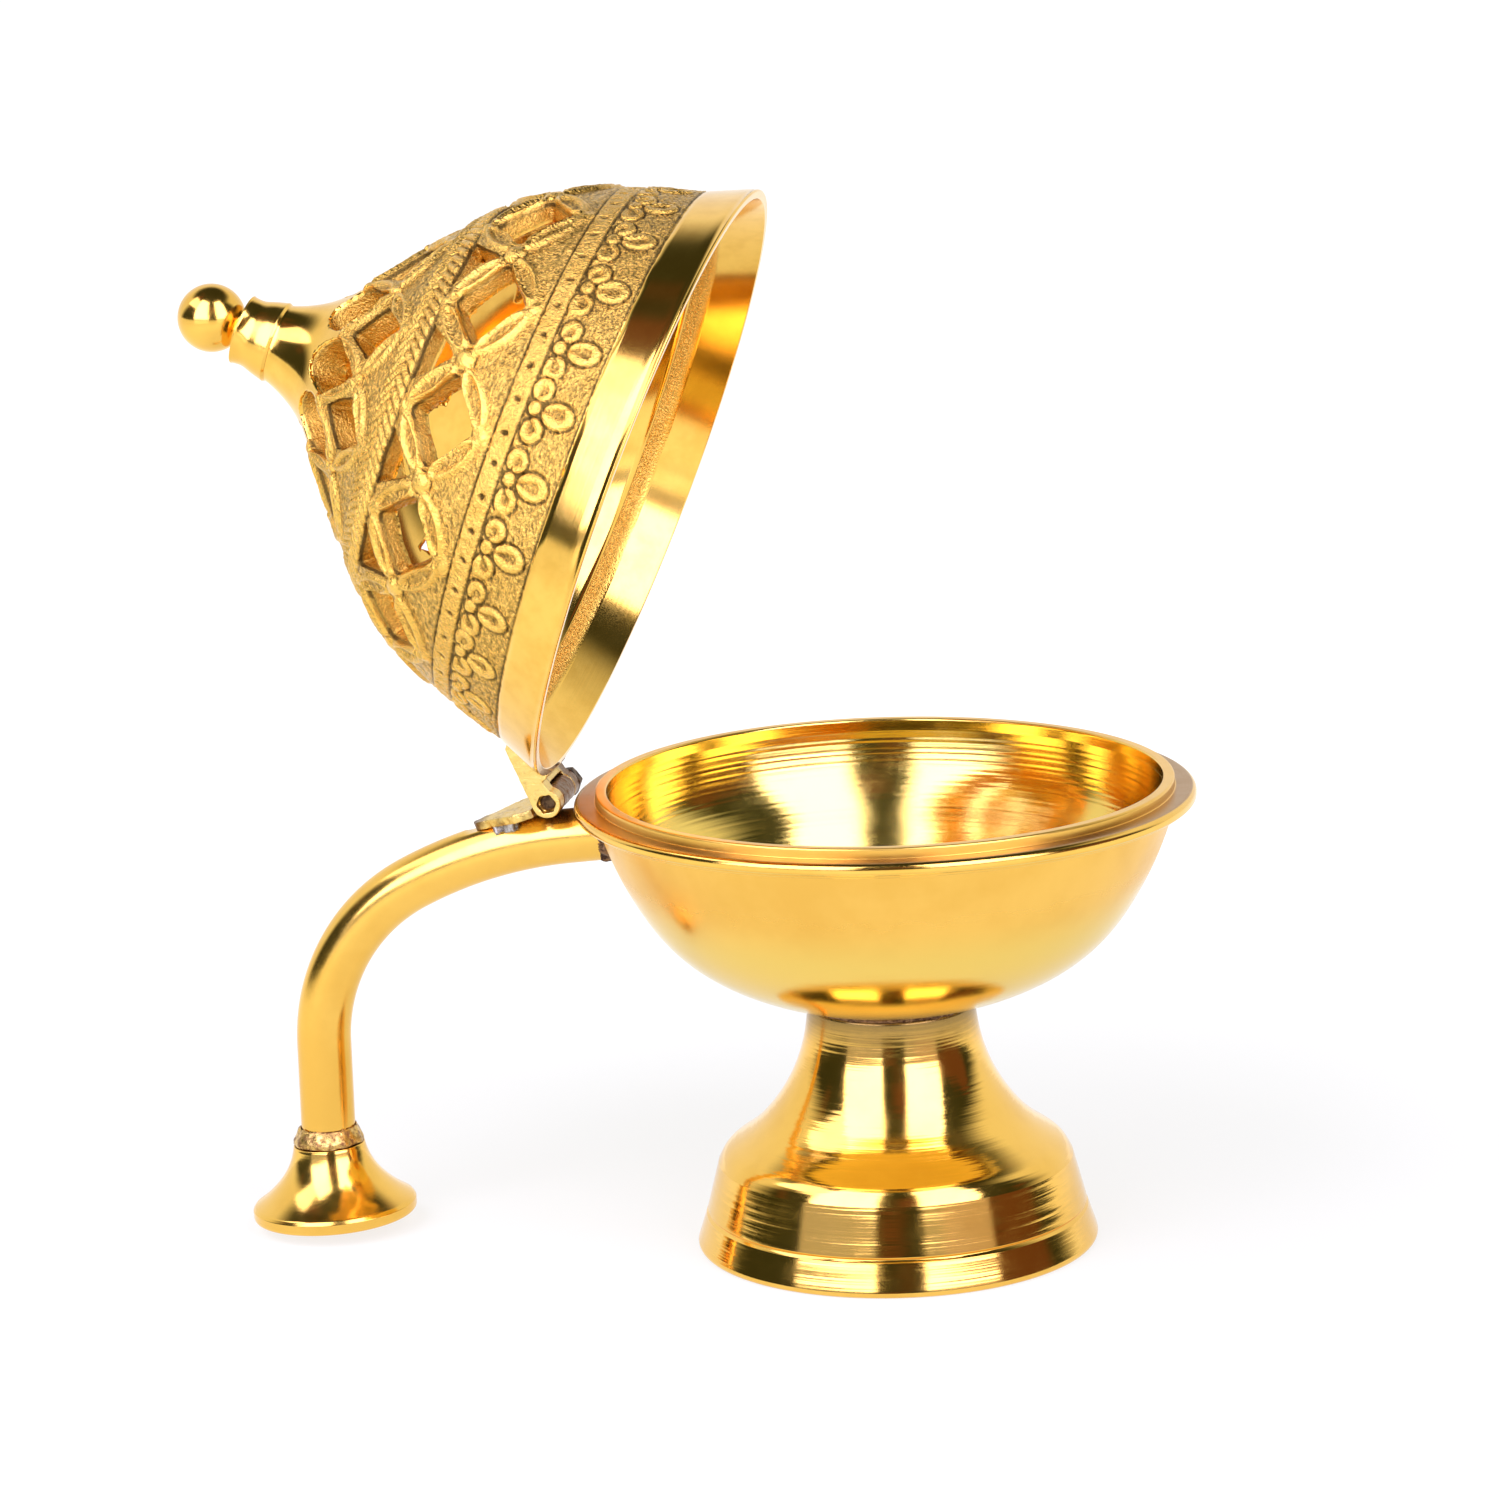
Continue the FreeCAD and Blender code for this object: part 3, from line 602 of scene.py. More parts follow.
# ---- handle ----
def handle_line():
    """Points and directions along the handle's centre line, from the bowl wall to the foot."""
    reach, height = tube_start
    slope = math.radians(tube_bends[0][0])
    marks = [(reach + step * math.cos(slope), height - step * math.sin(slope), slope)
             for step in (-3, *range(8))]
    reach, height = marks[-1][:2]
    for slope_in, slope_out, radius in tube_bends:
        begin, end = math.radians(slope_in), math.radians(slope_out)
        steps = int(abs(end - begin) * radius / 0.9)
        for step in range(1, steps + 1):
            turn = begin + (end - begin) * step / steps
            marks.append((reach + radius * (math.sin(turn) - math.sin(begin)),
                          height - radius * (math.cos(begin) - math.cos(turn)), turn))
        reach, height = marks[-1][:2]
    end = marks[-1][2]
    leg = (height - tube_end_height) / math.sin(end)
    marks += [(reach + leg * share * math.cos(end), height - leg * share * math.sin(end), end)
              for share in np.arange(1, 25) / 24]
    return marks


def make_tube():
    """Bent tube, fitted to the bowl wall, filed flat where the hinge tongue lies on it."""
    marks = handle_line()
    around = np.arange(96) * 2 * np.pi / 96
    rings = []
    for gauge, line in ((tube_radius, marks), (tube_radius - tube_wall, marks[::-1])):
        lift = gauge * np.cos(around)
        rings += [np.stack([-(reach + lift * math.sin(turn)), gauge * np.sin(around),
                            height + lift * math.cos(turn)], 1) for reach, height, turn in line]
    for ring in (rings[0], rings[-1]):
        ring[:, 0] = -np.interp(ring[:, 2], *zip(*bowl_wall_at_tube))
    points, faces = skin(rings)
    slope = math.radians(tongue_slope)
    normal = np.array([-math.sin(slope), 0, math.cos(slope)])
    above = (points - np.array(hinge)) @ normal + tongue_thickness
    past_hinge = -points[:, 0] - hinge_reach
    seat = (past_hinge > seat_start) & (past_hinge < seat_end) & (above > 0)
    points[seat] -= above[seat, None] * normal
    thing = piece("handle", points, faces, "base", ["handle_tube"], "tube_brass", tube_metal)
    settle(thing.data)
    return marks[-1][0]


def make_trumpet(reach):
    """Little hollow trumpet foot, brazed on slightly askew."""
    outer = smooth([(5.6, trumpet_height), (6.0, 9.9), (6.7, 8.2), (7.7, 6.6), (9.2, 4.9),
                    (10.9, 3.4), (trumpet_radius - 0.35, 2.25)], spacing=0.3)
    rim = corners((trumpet_radius - 0.35, 2.25), (trumpet_radius, 1.75, 0.25),
                  (trumpet_radius, 0, 0.7), (11.6, 0, 0.2), (11.2, 0.4))
    inner = smooth([(11.2, 0.4), (7.9, 3.6), (6.0, 5.6), (4.6, 7.4)])
    outline = joined(corners((0, trumpet_height), (5.6, trumpet_height, 0.15), (5.62, 11.4)),
                     outer[1:], rim, inner, corners((4.6, 7.4), (0, 7.4)))
    lift = trumpet_clearance + trumpet_radius * math.sin(math.radians(trumpet_tilt))
    place = (Matrix.Translation(Vector((-reach, 0, lift + trumpet_height)) * MM)
             @ Matrix.Rotation(math.radians(-trumpet_tilt), 4, "Y")
             @ Matrix.Translation(Vector((0, 0, -trumpet_height)) * MM))
    turned_piece("trumpet_foot", outline, 160, "base", "handle_foot", polished, place)


# ---- brazed, soldered and filed pieces ----
def softened(node, name, body, material, voxel, lump, lump_size, rounds=2, slimmer=0.0):
    """A copy of a CAD piece with worn edges and the lumps of hand work."""
    thing = linked(name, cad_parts[node].data.copy())
    grid = thing.modifiers.new("grid", "REMESH")
    grid.mode = "VOXEL"
    grid.voxel_size = voxel * MM
    worn = thing.modifiers.new("worn", "SMOOTH")
    worn.iterations = rounds
    worn.factor = 0.5
    mesh = apply_modifiers(thing)
    spots = vectors(mesh, "co") / MM
    push = np.array([noise.noise(Vector(spot) / lump_size) for spot in spots]) * lump
    spots += vectors(mesh, "normal") * (push - slimmer)[:, None]
    mesh.vertices.foreach_set("co", (spots * MM).ravel())
    mesh.update()
    settle(mesh)
    mesh.shade_smooth()
    mesh.materials.clear()
    mesh.materials.append(material)
    belong(thing, body, [node])


def make_small_pieces():
    """Braze, solder, the two hinge leaves and the bolt."""
    softened("pedestal_braze", "neck_braze", "base", braze_metal, 0.16, 0.22, 1.3, 1)
    softened("handle_bowl_braze", "bowl_braze", "base", braze_metal, 0.14, 0.5, 1.4, 1)
    softened("handle_foot_braze", "foot_braze", "base", collar_metal, 0.18, 0.22, 1.6,
             slimmer=0.22)
    softened("hinge_leaf_solder", "solder_bed", "base", solder_metal, 0.14, 0.7, 1.2, 1)
    softened("hinge_leaf", "fixed_leaf", "base", tongue_metal, 0.13, 0.10, 0.8)
    softened("hinge_strap", "lid_strap", "lid", strap_metal, 0.14, 0.08, 1.4)
    softened("hinge_strap_braze", "strap_bead", "lid", braze_metal, 0.12, 0.3, 1.0, 1)
    softened("hinge_bolt", "bolt_axle", "lid", bolt_metal, 0.13, 0.05, 0.9)


# ---- finial ----
def make_finial():
    """Collar with a flared sharp end, and the ball on its short stem."""
    low = rim_height + neck_height
    high = low + collar_height
    collar = joined(corners((tenon_radius, low), (6.1, low, 0.1), (6.35, low + 0.5, 0.2),
                            (6.2, low + 1.0)),
                    smooth([(6.2, low + 1.0), (5.7, low + 2.8), (5.25, low + 4.4),
                            (5.35, high - 0.3)], spacing=0.2)[1:],
                    corners((5.35, high - 0.3), (5.5, high, 0.12), (tenon_radius, high)))
    turned_piece("collar", collar, 160, "lid", "finial_collar", polished, swing)
    centre = rim_height + knob_height
    join = centre - math.sqrt(knob_radius**2 - stem_radius**2)
    start = math.asin(stem_radius / knob_radius)
    ball = [(knob_radius * math.sin(turn), centre - knob_radius * math.cos(turn))
            for turn in np.linspace(start + 0.04, math.pi, 60)]
    ball[-1] = (0, centre + knob_radius)
    tenon_end = rim_height + tenon_bottom
    outline = joined(corners((0, tenon_end), (tenon_radius, tenon_end, 0.2), (tenon_radius, high),
                             (stem_radius, high), (stem_radius, join - 0.15)), ball)
    turned_piece("knob", outline, 160, "lid", "finial_knob", polished, swing)


# ---- lid: outline ----
def lid_lines():
    """The lid's outer line from rim to neck, and its inner line, closed, in the part's frame."""
    band = corners((rim_radius, 0.0), (47.1, 1.4, 2.0), (band_top_radius, band_height))
    dome = smooth([(band_top_radius, band_height), (42.0, 15.4), (39.2, 23.1), (35.7, 29.9),
                   (31.4, 35.6), (25.7, 40.9), (20.0, 45.7), (14.1, 51.0), (10.0, 54.5),
                   (7.5, 58.2), (neck_top_radius, neck_height)],
                  leaving=(-0.31, 1.0), arriving=(-0.3, 1.0), spacing=0.25)
    share = np.linspace(0, 1, len(dome))
    behind = beside(dome, np.interp(share, np.arange(8) / 10, wall_under_dome))
    marks = [int(len(dome) * part) for part in (0.2, 0.3, 0.4, 0.5, 0.6, 0.7)]
    inner = smooth([(rebate_radius - rebate_step, rebate_depth)] + [tuple(behind[m]) for m in marks]
                   + [(tenon_radius, crown_inside)], leaving=(-0.3, 1.0), arriving=(-1.0, 0.0),
                   spacing=0.9)
    return joined(band, dome) + (0, rim_height), inner + (0, rim_height)


outer_line, inner_line = lid_lines()
outer_along = along_of(outer_line)
outer_normal = outer_line - beside(outer_line, 1.0)


def at_along(along):
    """Radius, height and the outward normal's two parts at distances along the outer line."""
    return [np.interp(along, outer_along, column) for column in (*outer_line.T, *outer_normal.T)]


# ---- lid: relief ----
# places along the outer line from the rim, in millimetres
frieze_start = 8.0
frieze_end = 17.35
strip_end = 20.75
flower = 29.75              # lattice flowers
lattice_low = 22.1          # where petals meet under a window
lattice_high = 37.96
rope_start = 38.9
rope_middle = 41.8
rope_end = 44.6
crown_flower = 52.2
crown_low = 45.2
crown_high = 61.3
smooth_neck = 61.8

scrolls = 25
scroll_turn = 289.1
ball_height = 15.9
punches = 50
punch_turn = 2.4
punch_height = 19.15
strands = 100
grain_size = 0.08
chance = np.random.default_rng(11)
scroll_chance = chance.uniform(-1, 1, (scrolls, 8))
punch_chance = chance.uniform(-1, 1, (punches, 5))


def soft(value, low, high):
    """Zero below low, one above high, smooth between."""
    share = np.clip((value - low) / (high - low), 0, 1)
    return share * share * (3 - 2 * share)


def between(along, start, started, ending, end):
    """One between started and ending, zero before start and after end, smooth at both ends."""
    return soft(along, start, started) * soft(-along, -end, -ending)


def folded(turn, count, first):
    """Degrees from the nearest of several places round the lid, and that place's number."""
    pitch = 360.0 / count
    number = np.round((turn - first) / pitch)
    return turn - first - number * pitch, number.astype(int) % count


def oval(across, up, centre_across, centre_up, half_across, half_up):
    """Distance outside an ellipse, roughly in millimetres."""
    x, y = across - centre_across, up - centre_up
    reach = np.sqrt((x / half_across)**2 + (y / half_up)**2) + 1e-6
    steep = np.sqrt((x / half_across**2)**2 + (y / half_up**2)**2) / reach + 1e-6
    return (reach - 1) / steep


def stroke(across, up, start, end, wide_start, wide_end):
    """Distance outside a tapering stroke between two points."""
    run = np.subtract(end, start)
    share = np.clip(((across - start[0]) * run[0] + (up - start[1]) * run[1]) / (run @ run), 0, 1)
    gap = np.hypot(across - start[0] - share * run[0], up - start[1] - share * run[1])
    return gap - (wide_start + (wide_end - wide_start) * share)


def engrave(level, distance, width, depth):
    """Cut a groove along the line where the distance is zero."""
    return level - depth * np.exp(-(distance / width)**2)


def scroll_frieze(turn, along, radius, level):
    """A row of motifs, each a ball with a loop below it and a curl on either side."""
    far_away = 9.0
    degrees, number = folded(turn, scrolls, scroll_turn)
    vary = scroll_chance[number]
    across = np.radians(degrees + vary[..., 0] * 0.7) * radius
    up = along - ball_height + 0.12 * vary[..., 1]
    size = 1 + 0.08 * vary[..., 2]
    ball = oval(across, up, 0, 0, 1.25, 1.15)
    curls = [oval(across, up, 0.25 * vary[..., 3], -4.0, 2.15 * size, 2.75),
             oval(across, up, -3.3, -0.55 + 0.35 * vary[..., 4], 2.15, 1.85 * size),
             oval(across, up, 2.95, -0.6 + 0.35 * vary[..., 5], 2.0, 1.8 * size)]
    body = np.minimum.reduce([ball, *curls])
    level = level + 0.34 * soft(-body, -0.12, 0.5)
    for edge in (ball, *(np.where(ball < 0.15, far_away, curl) for curl in curls)):
        level = engrave(level, edge, 0.22, 0.32)
    slits = (stroke(across, up, (0, -1.6), (0.1, -4.3), 0.05, 0.85),
             stroke(across, up, (-1.4, 0.35), (-3.2, -0.6), 0.05, 0.7),
             stroke(across, up, (1.5, 0.3), (2.8, -0.6), 0.05, 0.65))
    for slit in slits:
        level = level - 0.42 * soft(-slit, -0.28, 0.1)
    edge_gap = 180.0 / scrolls - np.abs(degrees)
    pellet = np.hypot(np.radians(edge_gap) * radius, up - 0.7)
    return level + 0.22 * np.exp(-(pellet / 0.35)**2)


def punched_strip(turn, along, radius, level):
    """A flat raised strip with a row of small irregular punch marks."""
    inside = between(along, frieze_end - 0.1, frieze_end + 0.3, strip_end - 0.3, strip_end + 0.1)
    level = level + 0.16 * inside
    degrees, number = folded(turn, punches, punch_turn)
    vary = punch_chance[number]
    across = np.radians(degrees + vary[..., 0] * 0.5) * radius
    up = along - punch_height - 0.15 * vary[..., 1]
    lean = 0.5 + 0.35 * vary[..., 2]
    for side in (-1, 1):
        x = across * np.cos(lean) + side * up * np.sin(lean)
        y = up * np.cos(lean) - side * across * np.sin(lean)
        depth = 0.42 + 0.25 * vary[..., 3] * side
        level = level - depth * np.exp(-(x / 0.3)**2 - ((y + 0.12) / 0.5)**2)
    return level


def petal(across, up, start, end, half, proud, level):
    """A pointed leaf with a rounded rim and a sunk middle."""
    run = np.subtract(end, start)
    length = np.hypot(*run)
    run /= length
    share = ((across - start[0]) * run[0] + (up - start[1]) * run[1]) / length
    side = np.abs(-(across - start[0]) * run[1] + (up - start[1]) * run[0])
    inside = half * np.clip(1 - (2 * share - 1)**2, 0, 1)**0.75 - side
    rim = np.sin(np.pi * np.clip(inside / 1.3, 0, 1)**0.75)
    sunk = soft(inside, 0.95, 1.25)
    height = proud * rim - 0.5 * sunk
    return np.where((inside > 0) & (share > 0) & (share < 1), level + height, level)


def flowers(turn, along, radius, level, count, first, middle, low, high, half, boss, proud):
    """A ring of four-petalled flowers whose petals meet their neighbours' above and below."""
    degrees = folded(turn, count, first)[0]
    across = np.radians(degrees) * radius
    up = along - middle
    root = boss * 0.55
    for side in (-1, 1):
        for way, end in ((-1, low), (1, high)):
            tip = (side * (math.pi / count * at_along(end)[0] - 0.5), end - middle - 0.35 * way)
            level = petal(across, up, (side * root, way * root * 0.8), tip, half, proud, level)
    edge = np.radians(180.0 / count - np.abs(degrees)) * radius
    for place in (low, high):
        joint = np.hypot(edge * 0.8, along - place)
        level = np.maximum(level, proud * np.exp(-joint**2) - 0.02)
    gap = np.hypot(across, up)
    level = engrave(level, gap - boss * 1.12, 0.22, 0.25)
    dome = (proud + 0.12) * np.sqrt(np.clip(1 - (gap / (boss * 1.08))**2, 0, 1))
    return np.where(gap < boss, dome + 0.05, level)


def rope_band(turn, along, radius, level):
    """Two rows of slanting strands that meet in a herringbone."""
    pitch = np.radians(360.0 / strands) * radius
    across = np.radians(turn) * radius
    rise = along - rope_middle
    lean = np.where(rise < 0, -rise * 0.80, rise * 1.15)
    phase = (across + lean + 0.25 * np.sin(np.radians(turn) * 7)) / pitch
    wave = np.abs(np.sin(np.pi * phase))**0.8
    inside = between(along, rope_start, rope_start + 0.4, rope_end - 0.5, rope_end)
    level = level + inside * (0.72 * wave - 0.28)
    for place in (rope_start, rope_end):
        level = engrave(level, along - place, 0.28, 0.2)
    return engrave(level, rise, 0.2, 0.12 * inside)


def relief(turn, along):
    """Height of the cast relief over the plain dome, how sandy the casting is there, and how
    much of that sand the polishing of high places has left."""
    radius = at_along(along)[0]
    level = np.zeros_like(turn)
    sandy = between(along, frieze_start, frieze_start + 0.3, smooth_neck, smooth_neck + 0.5)
    in_frieze = (along > frieze_start) & (along < frieze_end)
    level = np.where(in_frieze, scroll_frieze(turn, along, radius, level), level)
    level = punched_strip(turn, along, radius, level)
    for place, width, depth in ((frieze_start + 0.15, 0.22, 0.32), (frieze_end, 0.2, 0.3),
                                (strip_end, 0.2, 0.32)):
        waver = 0.07 * np.sin(np.radians(turn) * 11 + place) + 0.04 * np.sin(np.radians(turn) * 37)
        level = engrave(level, along - place - waver, width, depth)
    in_lattice = (along > strip_end + 0.2) & (along < rope_start + 0.2)
    level = np.where(in_lattice, flowers(turn, along, radius, level, lattice_count, lattice_turn,
                                         flower, lattice_low, lattice_high, 1.95, 1.6, 0.7), level)
    level = rope_band(turn, along, radius, level)
    in_crown = (along > rope_end - 0.3) & (along < smooth_neck + 0.5)
    level = np.where(in_crown, flowers(turn, along, radius, level, crown_count, crown_turn,
                                       crown_flower, crown_low, crown_high, 1.6, 0.8, 0.6), level)
    bare = 1 - 0.5 * soft(level, 0.15, 0.45)
    return level, sandy, bare


# ---- lid: mesh ----
def grain_row(count):
    """Sand grains of the mould along one row of points, a point or two wide."""
    speckle = chance.normal(0, grain_size, count)
    return 0.6 * speckle + 0.4 * np.roll(speckle, 1)


def lid_shell():
    """The whole casting without its windows: relief outside, rebate and bore inside."""
    fine = 1.0
    rim_count = 360
    bore_count = 48
    zones = ((0.4, frieze_start - 0.3, rim_count, 0.7), (frieze_start - 0.3, frieze_end + 0.3, 1000, 0.27),
             (frieze_end + 0.3, strip_end + 0.3, 1000, 0.3), (strip_end + 0.3, 39.0, 680, 0.34),
             (39.0, 53.0, 680, 0.3), (53.0, 63.0, 420, 0.33), (63.0, outer_along[-1], 240, 0.5))
    rim = corners((rim_radius - rim_land, 0), (rim_radius, 0, 0.3), (rim_radius - 0.06, 0.36))
    rings = [ring_of(rim_count, radius, height + rim_height) for radius, height in rim]
    for start, end, count, spacing in zones:
        count = int(count * fine)
        turn = np.arange(count) * 360.0 / count
        steps = max(2, int((end - start) / spacing * fine))
        for step in range(steps):
            along = start + (end - start) * step / steps
            radius, height, out, up = at_along(along)
            level, sandy, bare = relief(turn, np.full(count, along))
            push = level + grain_row(count) * sandy * bare
            rings.append(ring_of(count, radius + out * push, height + up * push))
    top = rim_height + neck_height
    bore = corners((neck_top_radius, top - 0.02), (neck_top_radius, top, 0.01),
                   (tenon_radius, top), (tenon_radius, inner_line[-1][1]))
    rings += [ring_of(240 if radius > 3 else bore_count, radius, height) for radius, height in bore]
    rings += [ring_of(int(np.clip(radius * 9, bore_count, 300)), radius, height)
              for radius, height in inner_line[::-1][1:]]
    rebate = corners(tuple(inner_line[0]), (rebate_radius, rim_height + rebate_depth),
                     (rim_radius - rim_land, rim_height))
    rings += [ring_of(rim_count, radius, height) for radius, height in rebate[1:-1]]
    return skin(rings)


def rounded_loop(points, radius, spacing):
    """A closed outline with rounded corners, as evenly spaced points and outward directions."""
    points = np.array(points, float)
    path = []
    for before, corner, after in zip(np.roll(points, 1, 0), points, np.roll(points, -1, 0)):
        back = before - corner
        ahead = after - corner
        reach = min(radius, 0.45 * np.hypot(*back), 0.45 * np.hypot(*ahead))
        first = corner + back / np.hypot(*back) * reach
        last = corner + ahead / np.hypot(*ahead) * reach
        for share in np.linspace(0, 1, 8):
            path.append((1 - share)**2 * first + 2 * share * (1 - share) * corner + share**2 * last)
    path = np.array(path + path[:1])
    along = along_of(path)
    steps = int(along[-1] / spacing)
    marks = np.arange(steps) * along[-1] / steps
    loop = np.stack([np.interp(marks, along, column) for column in path.T], 1)
    run = np.roll(loop, -1, 0) - np.roll(loop, 1, 0)
    run /= np.hypot(*run.T)[:, None]
    x, y = loop.T
    area = np.sum(x * np.roll(y, -1) - np.roll(x, -1) * y)
    return loop, np.stack([run[:, 1], -run[:, 0]], 1) * np.sign(area)


def window_cutters(count, first, outline, depth, radius):
    """Tapered plugs with pebbled sides for a ring of windows; outlines are (across, along)."""
    loop, out = rounded_loop(outline, radius, 0.42)
    levels = [(1.05, 0.62), (0.75, 0.4), (0.5, 0.22), (0.25, 0.1), (0.0, 0.02)]
    levels += [(-step, -0.12 * step) for step in np.arange(0.4, depth, 0.42)]
    plugs = []
    for index in range(count):
        middle = math.radians(first + 360.0 / count * index)
        warp = chance.normal(0, 0.10, 2)
        rings = []
        for level, spread in levels:
            rough = chance.normal(0, 0.055, len(loop)) * (level < 0.2)
            swell = 0.12 * np.sin(np.arange(len(loop)) * 0.35 + index * 1.7 + level)
            shape = loop + warp + out * (spread + rough + swell * (level < 0.8))[:, None]
            base, height, outwards, upwards = at_along(shape[:, 1])
            rings.append(polar(base + outwards * level, middle + shape[:, 0] / base,
                               height + upwards * level))
        plugs.append(rings)
    return plugs


def plug_mesh(plugs):
    """All window plugs as one mesh of closed shells."""
    points = np.zeros((0, 3))
    faces = []
    for rings in plugs:
        ends = [ring.mean(0, keepdims=True) for ring in (rings[0], rings[-1])]
        shell, shell_faces = skin([ends[0], *rings, ends[1]])
        faces += [[number + len(points) for number in face] for face in shell_faces]
        points = np.vstack([points, shell])
    return closed_mesh("plugs", points, faces)


def mark_surface(mesh):
    """Store on each point how far it stands out and how sandy it is, for the material."""
    x, y, z = vectors(mesh, "co").T / MM
    flat = np.stack([np.hypot(x, y), z], 1)
    turn = np.degrees(np.arctan2(y, x)) % 360
    raised, sandy = np.zeros((2, len(flat)))
    batch = 20000
    for start in range(0, len(flat), batch):
        part = slice(start, start + batch)
        from_outer, from_inner = (np.hypot(*(flat[part].T[:, :, None] - line.T[:, None]))
                                  for line in (outer_line, inner_line))
        near = from_outer.argmin(1)
        depth = ((flat[part] - outer_line[near]) * outer_normal[near]).sum(1)
        sand, bare = relief(turn[part], outer_along[near])[1:]
        # window walls count as fully sandy, so the material gives them the sand colour deepened as painted
        # shade
        wall = soft(-depth, 0.45, 0.9)
        raised[part] = depth * (1 - wall) + 0.02 * wall
        sandy[part] = (sand * bare * (1 - wall) + wall) * soft(from_inner.min(1), 0.3, 0.8)
        sandy[part] = np.where(outer_along[near] < frieze_start - 0.1, 0, sandy[part])
    for name, values in (("raised", raised), ("sandy", sandy)):
        mesh.attributes.new(name, "FLOAT", "POINT").data.foreach_set("value", values)


def make_lid():
    """Cast and pierced dome of the lid."""
    thing = piece("dome_cast", *lid_shell(), "lid", ["lid_dome"], "cast_brass", lid_metal, sharp=75.0)
    diamond = [(-7.6, 30.0), (0, 23.7), (7.6, 30.0), (0, 36.6)]
    triangle = [(-5.0, 39.1), (0, 31.9), (5.0, 39.1)]
    small_diamond = [(-4.7, 52.5), (0, 46.0), (4.7, 52.5), (0, 59.2)]
    arch = [(0, 53.9), (2.3, 57.4), (4.3, 60.6), (4.4, 62.2), (3.7, 64.6), (2.4, 66.8), (0, 67.7)]
    arch += [(-across, along) for across, along in arch[-2:0:-1]]
    plugs = window_cutters(lattice_count, lattice_turn + 180 / lattice_count, diamond, 4.6, 1.0)
    plugs += window_cutters(lattice_count, lattice_turn, triangle, 4.6, 0.9)
    plugs += window_cutters(crown_count, crown_turn + 180 / crown_count, small_diamond, 6.0, 0.9)
    plugs += window_cutters(crown_count, crown_turn, arch, 8.5, 1.0)
    cutter = linked("plugs", plug_mesh(plugs))
    cut = thing.modifiers.new("windows", "BOOLEAN")
    cut.operation = "DIFFERENCE"
    cut.solver = "MANIFOLD"
    cut.object = cutter
    pierced = apply_modifiers(thing)
    bpy.data.meshes.remove(cutter.data)
    pierced.shade_smooth()
    mark_surface(pierced)
    settle(pierced, swing)


# ---- stage, lights and camera ----
camera_turn, camera_rise, camera_lean = (math.radians(angle) for angle in (10.9, 12.79, 2.077))
to_camera = Vector((math.sin(camera_turn), -math.cos(camera_turn), 0))
to_right = Vector((math.cos(camera_turn), math.sin(camera_turn), 0))


def make_stage():
    """A plain white table that glows, a little less round the burner."""
    mesh = bpy.data.meshes.new("floor")
    reach = 8.0
    mesh.from_pydata([(-reach, -reach, 0), (reach, -reach, 0), (reach, reach, 0), (-reach, reach, 0)],
                     [], [(0, 1, 2, 3)])
    floor = linked("floor", mesh)
    material = bpy.data.materials.new("floor")
    material.use_nodes = True
    tree = material.node_tree
    away = measure(tree, "LENGTH", add(tree, "TexCoord").outputs["Object"])
    surface(material, Base_Color=(0.21, 0.21, 0.18, 1), Roughness=0.8, Specular_IOR_Level=0.0,
            Emission_Color=(1, 1, 1, 1), Emission_Strength=ramp(tree, away, 0.0, 0.35, 0.74, 1.0))
    mesh.materials.append(material)


def soft_panel(name, sideways, distance, low, high, width, radiance):
    """An upright rectangular studio light at a bearing from the camera's, in degrees."""
    turn = math.radians(sideways)
    way = to_camera * math.cos(turn) + to_right * math.sin(turn)
    light = bpy.data.lights.new(name, "AREA")
    light.shape = "RECTANGLE"
    light.size = width
    light.size_y = high - low
    light.energy = radiance * math.pi * width * (high - low)
    light.color = (1.0, 0.99, 1.4)
    thing = linked(name, light)
    thing.location = way * distance + Vector((0, 0, (low + high) / 2))
    thing.rotation_euler = (-way).to_track_quat("-Z", "Y").to_euler()


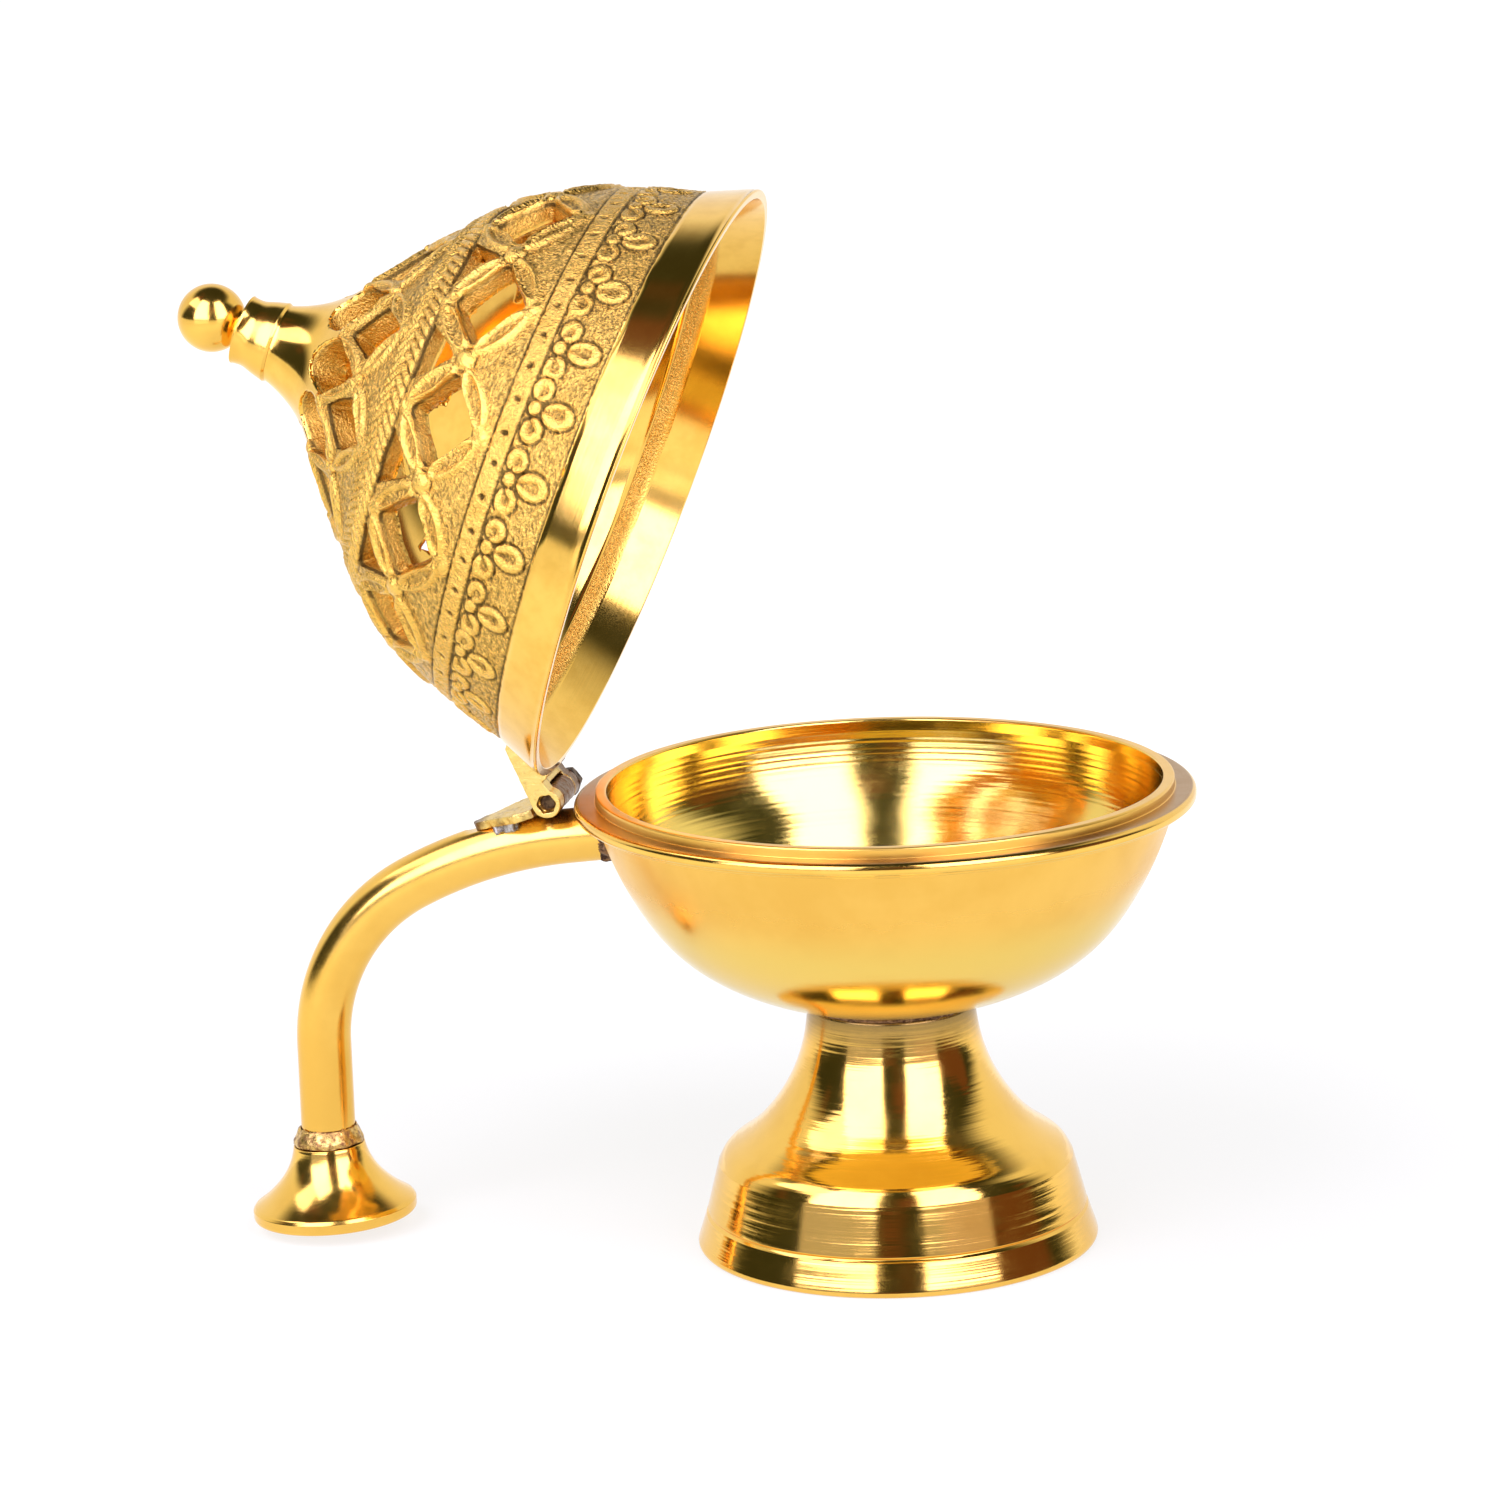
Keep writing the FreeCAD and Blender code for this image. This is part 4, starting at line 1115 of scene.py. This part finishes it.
def make_room():
    """A dim room with a white backdrop behind the burner."""
    world = bpy.data.worlds.new("room")
    bpy.context.scene.world = world
    world.use_nodes = True
    tree = world.node_tree
    way = add(tree, "TexCoord").outputs["Generated"]
    front = measure(tree, "DOT_PRODUCT", way, tuple(to_camera))
    height = add(tree, "SeparateXYZ", in_0=way).outputs[2]
    slanted = scaled(tree, height, -0.7, front)
    backdrop = maths(tree, "MULTIPLY", ramp(tree, slanted, -0.28, -0.6), ramp(tree, height, 0.82, 0.6))
    clutter = noise_of(tree, way, 1.7, 2.0)
    dim = blend(tree, ramp(tree, clutter, 0.5, 0.66), (0.045, 0.05, 0.03, 1), (0.16, 0.07, 0.04, 1))
    feed(tree, tree.nodes["Background"].inputs["Color"], blend(tree, backdrop, dim, (1, 1, 1, 1)))


def make_lights():
    """Tall soft panels either side of the camera over dim bounce cards, and one far to the left."""
    for side, sideways, width in (("left", -38.5, 0.54), ("right", 35.5, 0.49)):
        soft_panel(side + "_panel", sideways, 0.62, 0.175, 1.35, width, 4.6)
        soft_panel(side + "_bounce", sideways, 0.62, 0.03, 0.17, width, 0.5)
    soft_panel("side_panel", -82, 0.70, 0.56, 1.15, 0.50, 2.4)


def make_camera():
    """Slightly above the burner, a little to the right of square on, with a small tilt."""
    distance = 878.4
    aim_right, aim_up = -20.30, 78.34
    high = Vector((0, 0, 1))
    up = high * math.cos(camera_rise) - to_camera * math.sin(camera_rise)
    back = high * math.sin(camera_rise) + to_camera * math.cos(camera_rise)
    target = to_right * aim_right + high * aim_up
    across = to_right * math.cos(camera_lean) - up * math.sin(camera_lean)
    upward = to_right * math.sin(camera_lean) + up * math.cos(camera_lean)
    place = (target + back * distance) * MM
    camera = bpy.data.cameras.new("camera")
    camera.lens = 138.4
    camera.sensor_width = 36
    camera.clip_start = 0.05
    camera.clip_end = 50
    thing = linked("camera", camera)
    facing = Matrix((across, upward, back)).transposed().to_4x4()
    thing.matrix_world = Matrix.Translation(place) @ facing
    bpy.context.scene.camera = thing


make_pedestal()
make_bowl()
foot_reach = make_tube()
make_trumpet(foot_reach)
make_small_pieces()
make_finial()
make_lid()
make_stage()
make_room()
make_lights()
make_camera()
bpy.context.scene.view_settings.view_transform = "Standard"
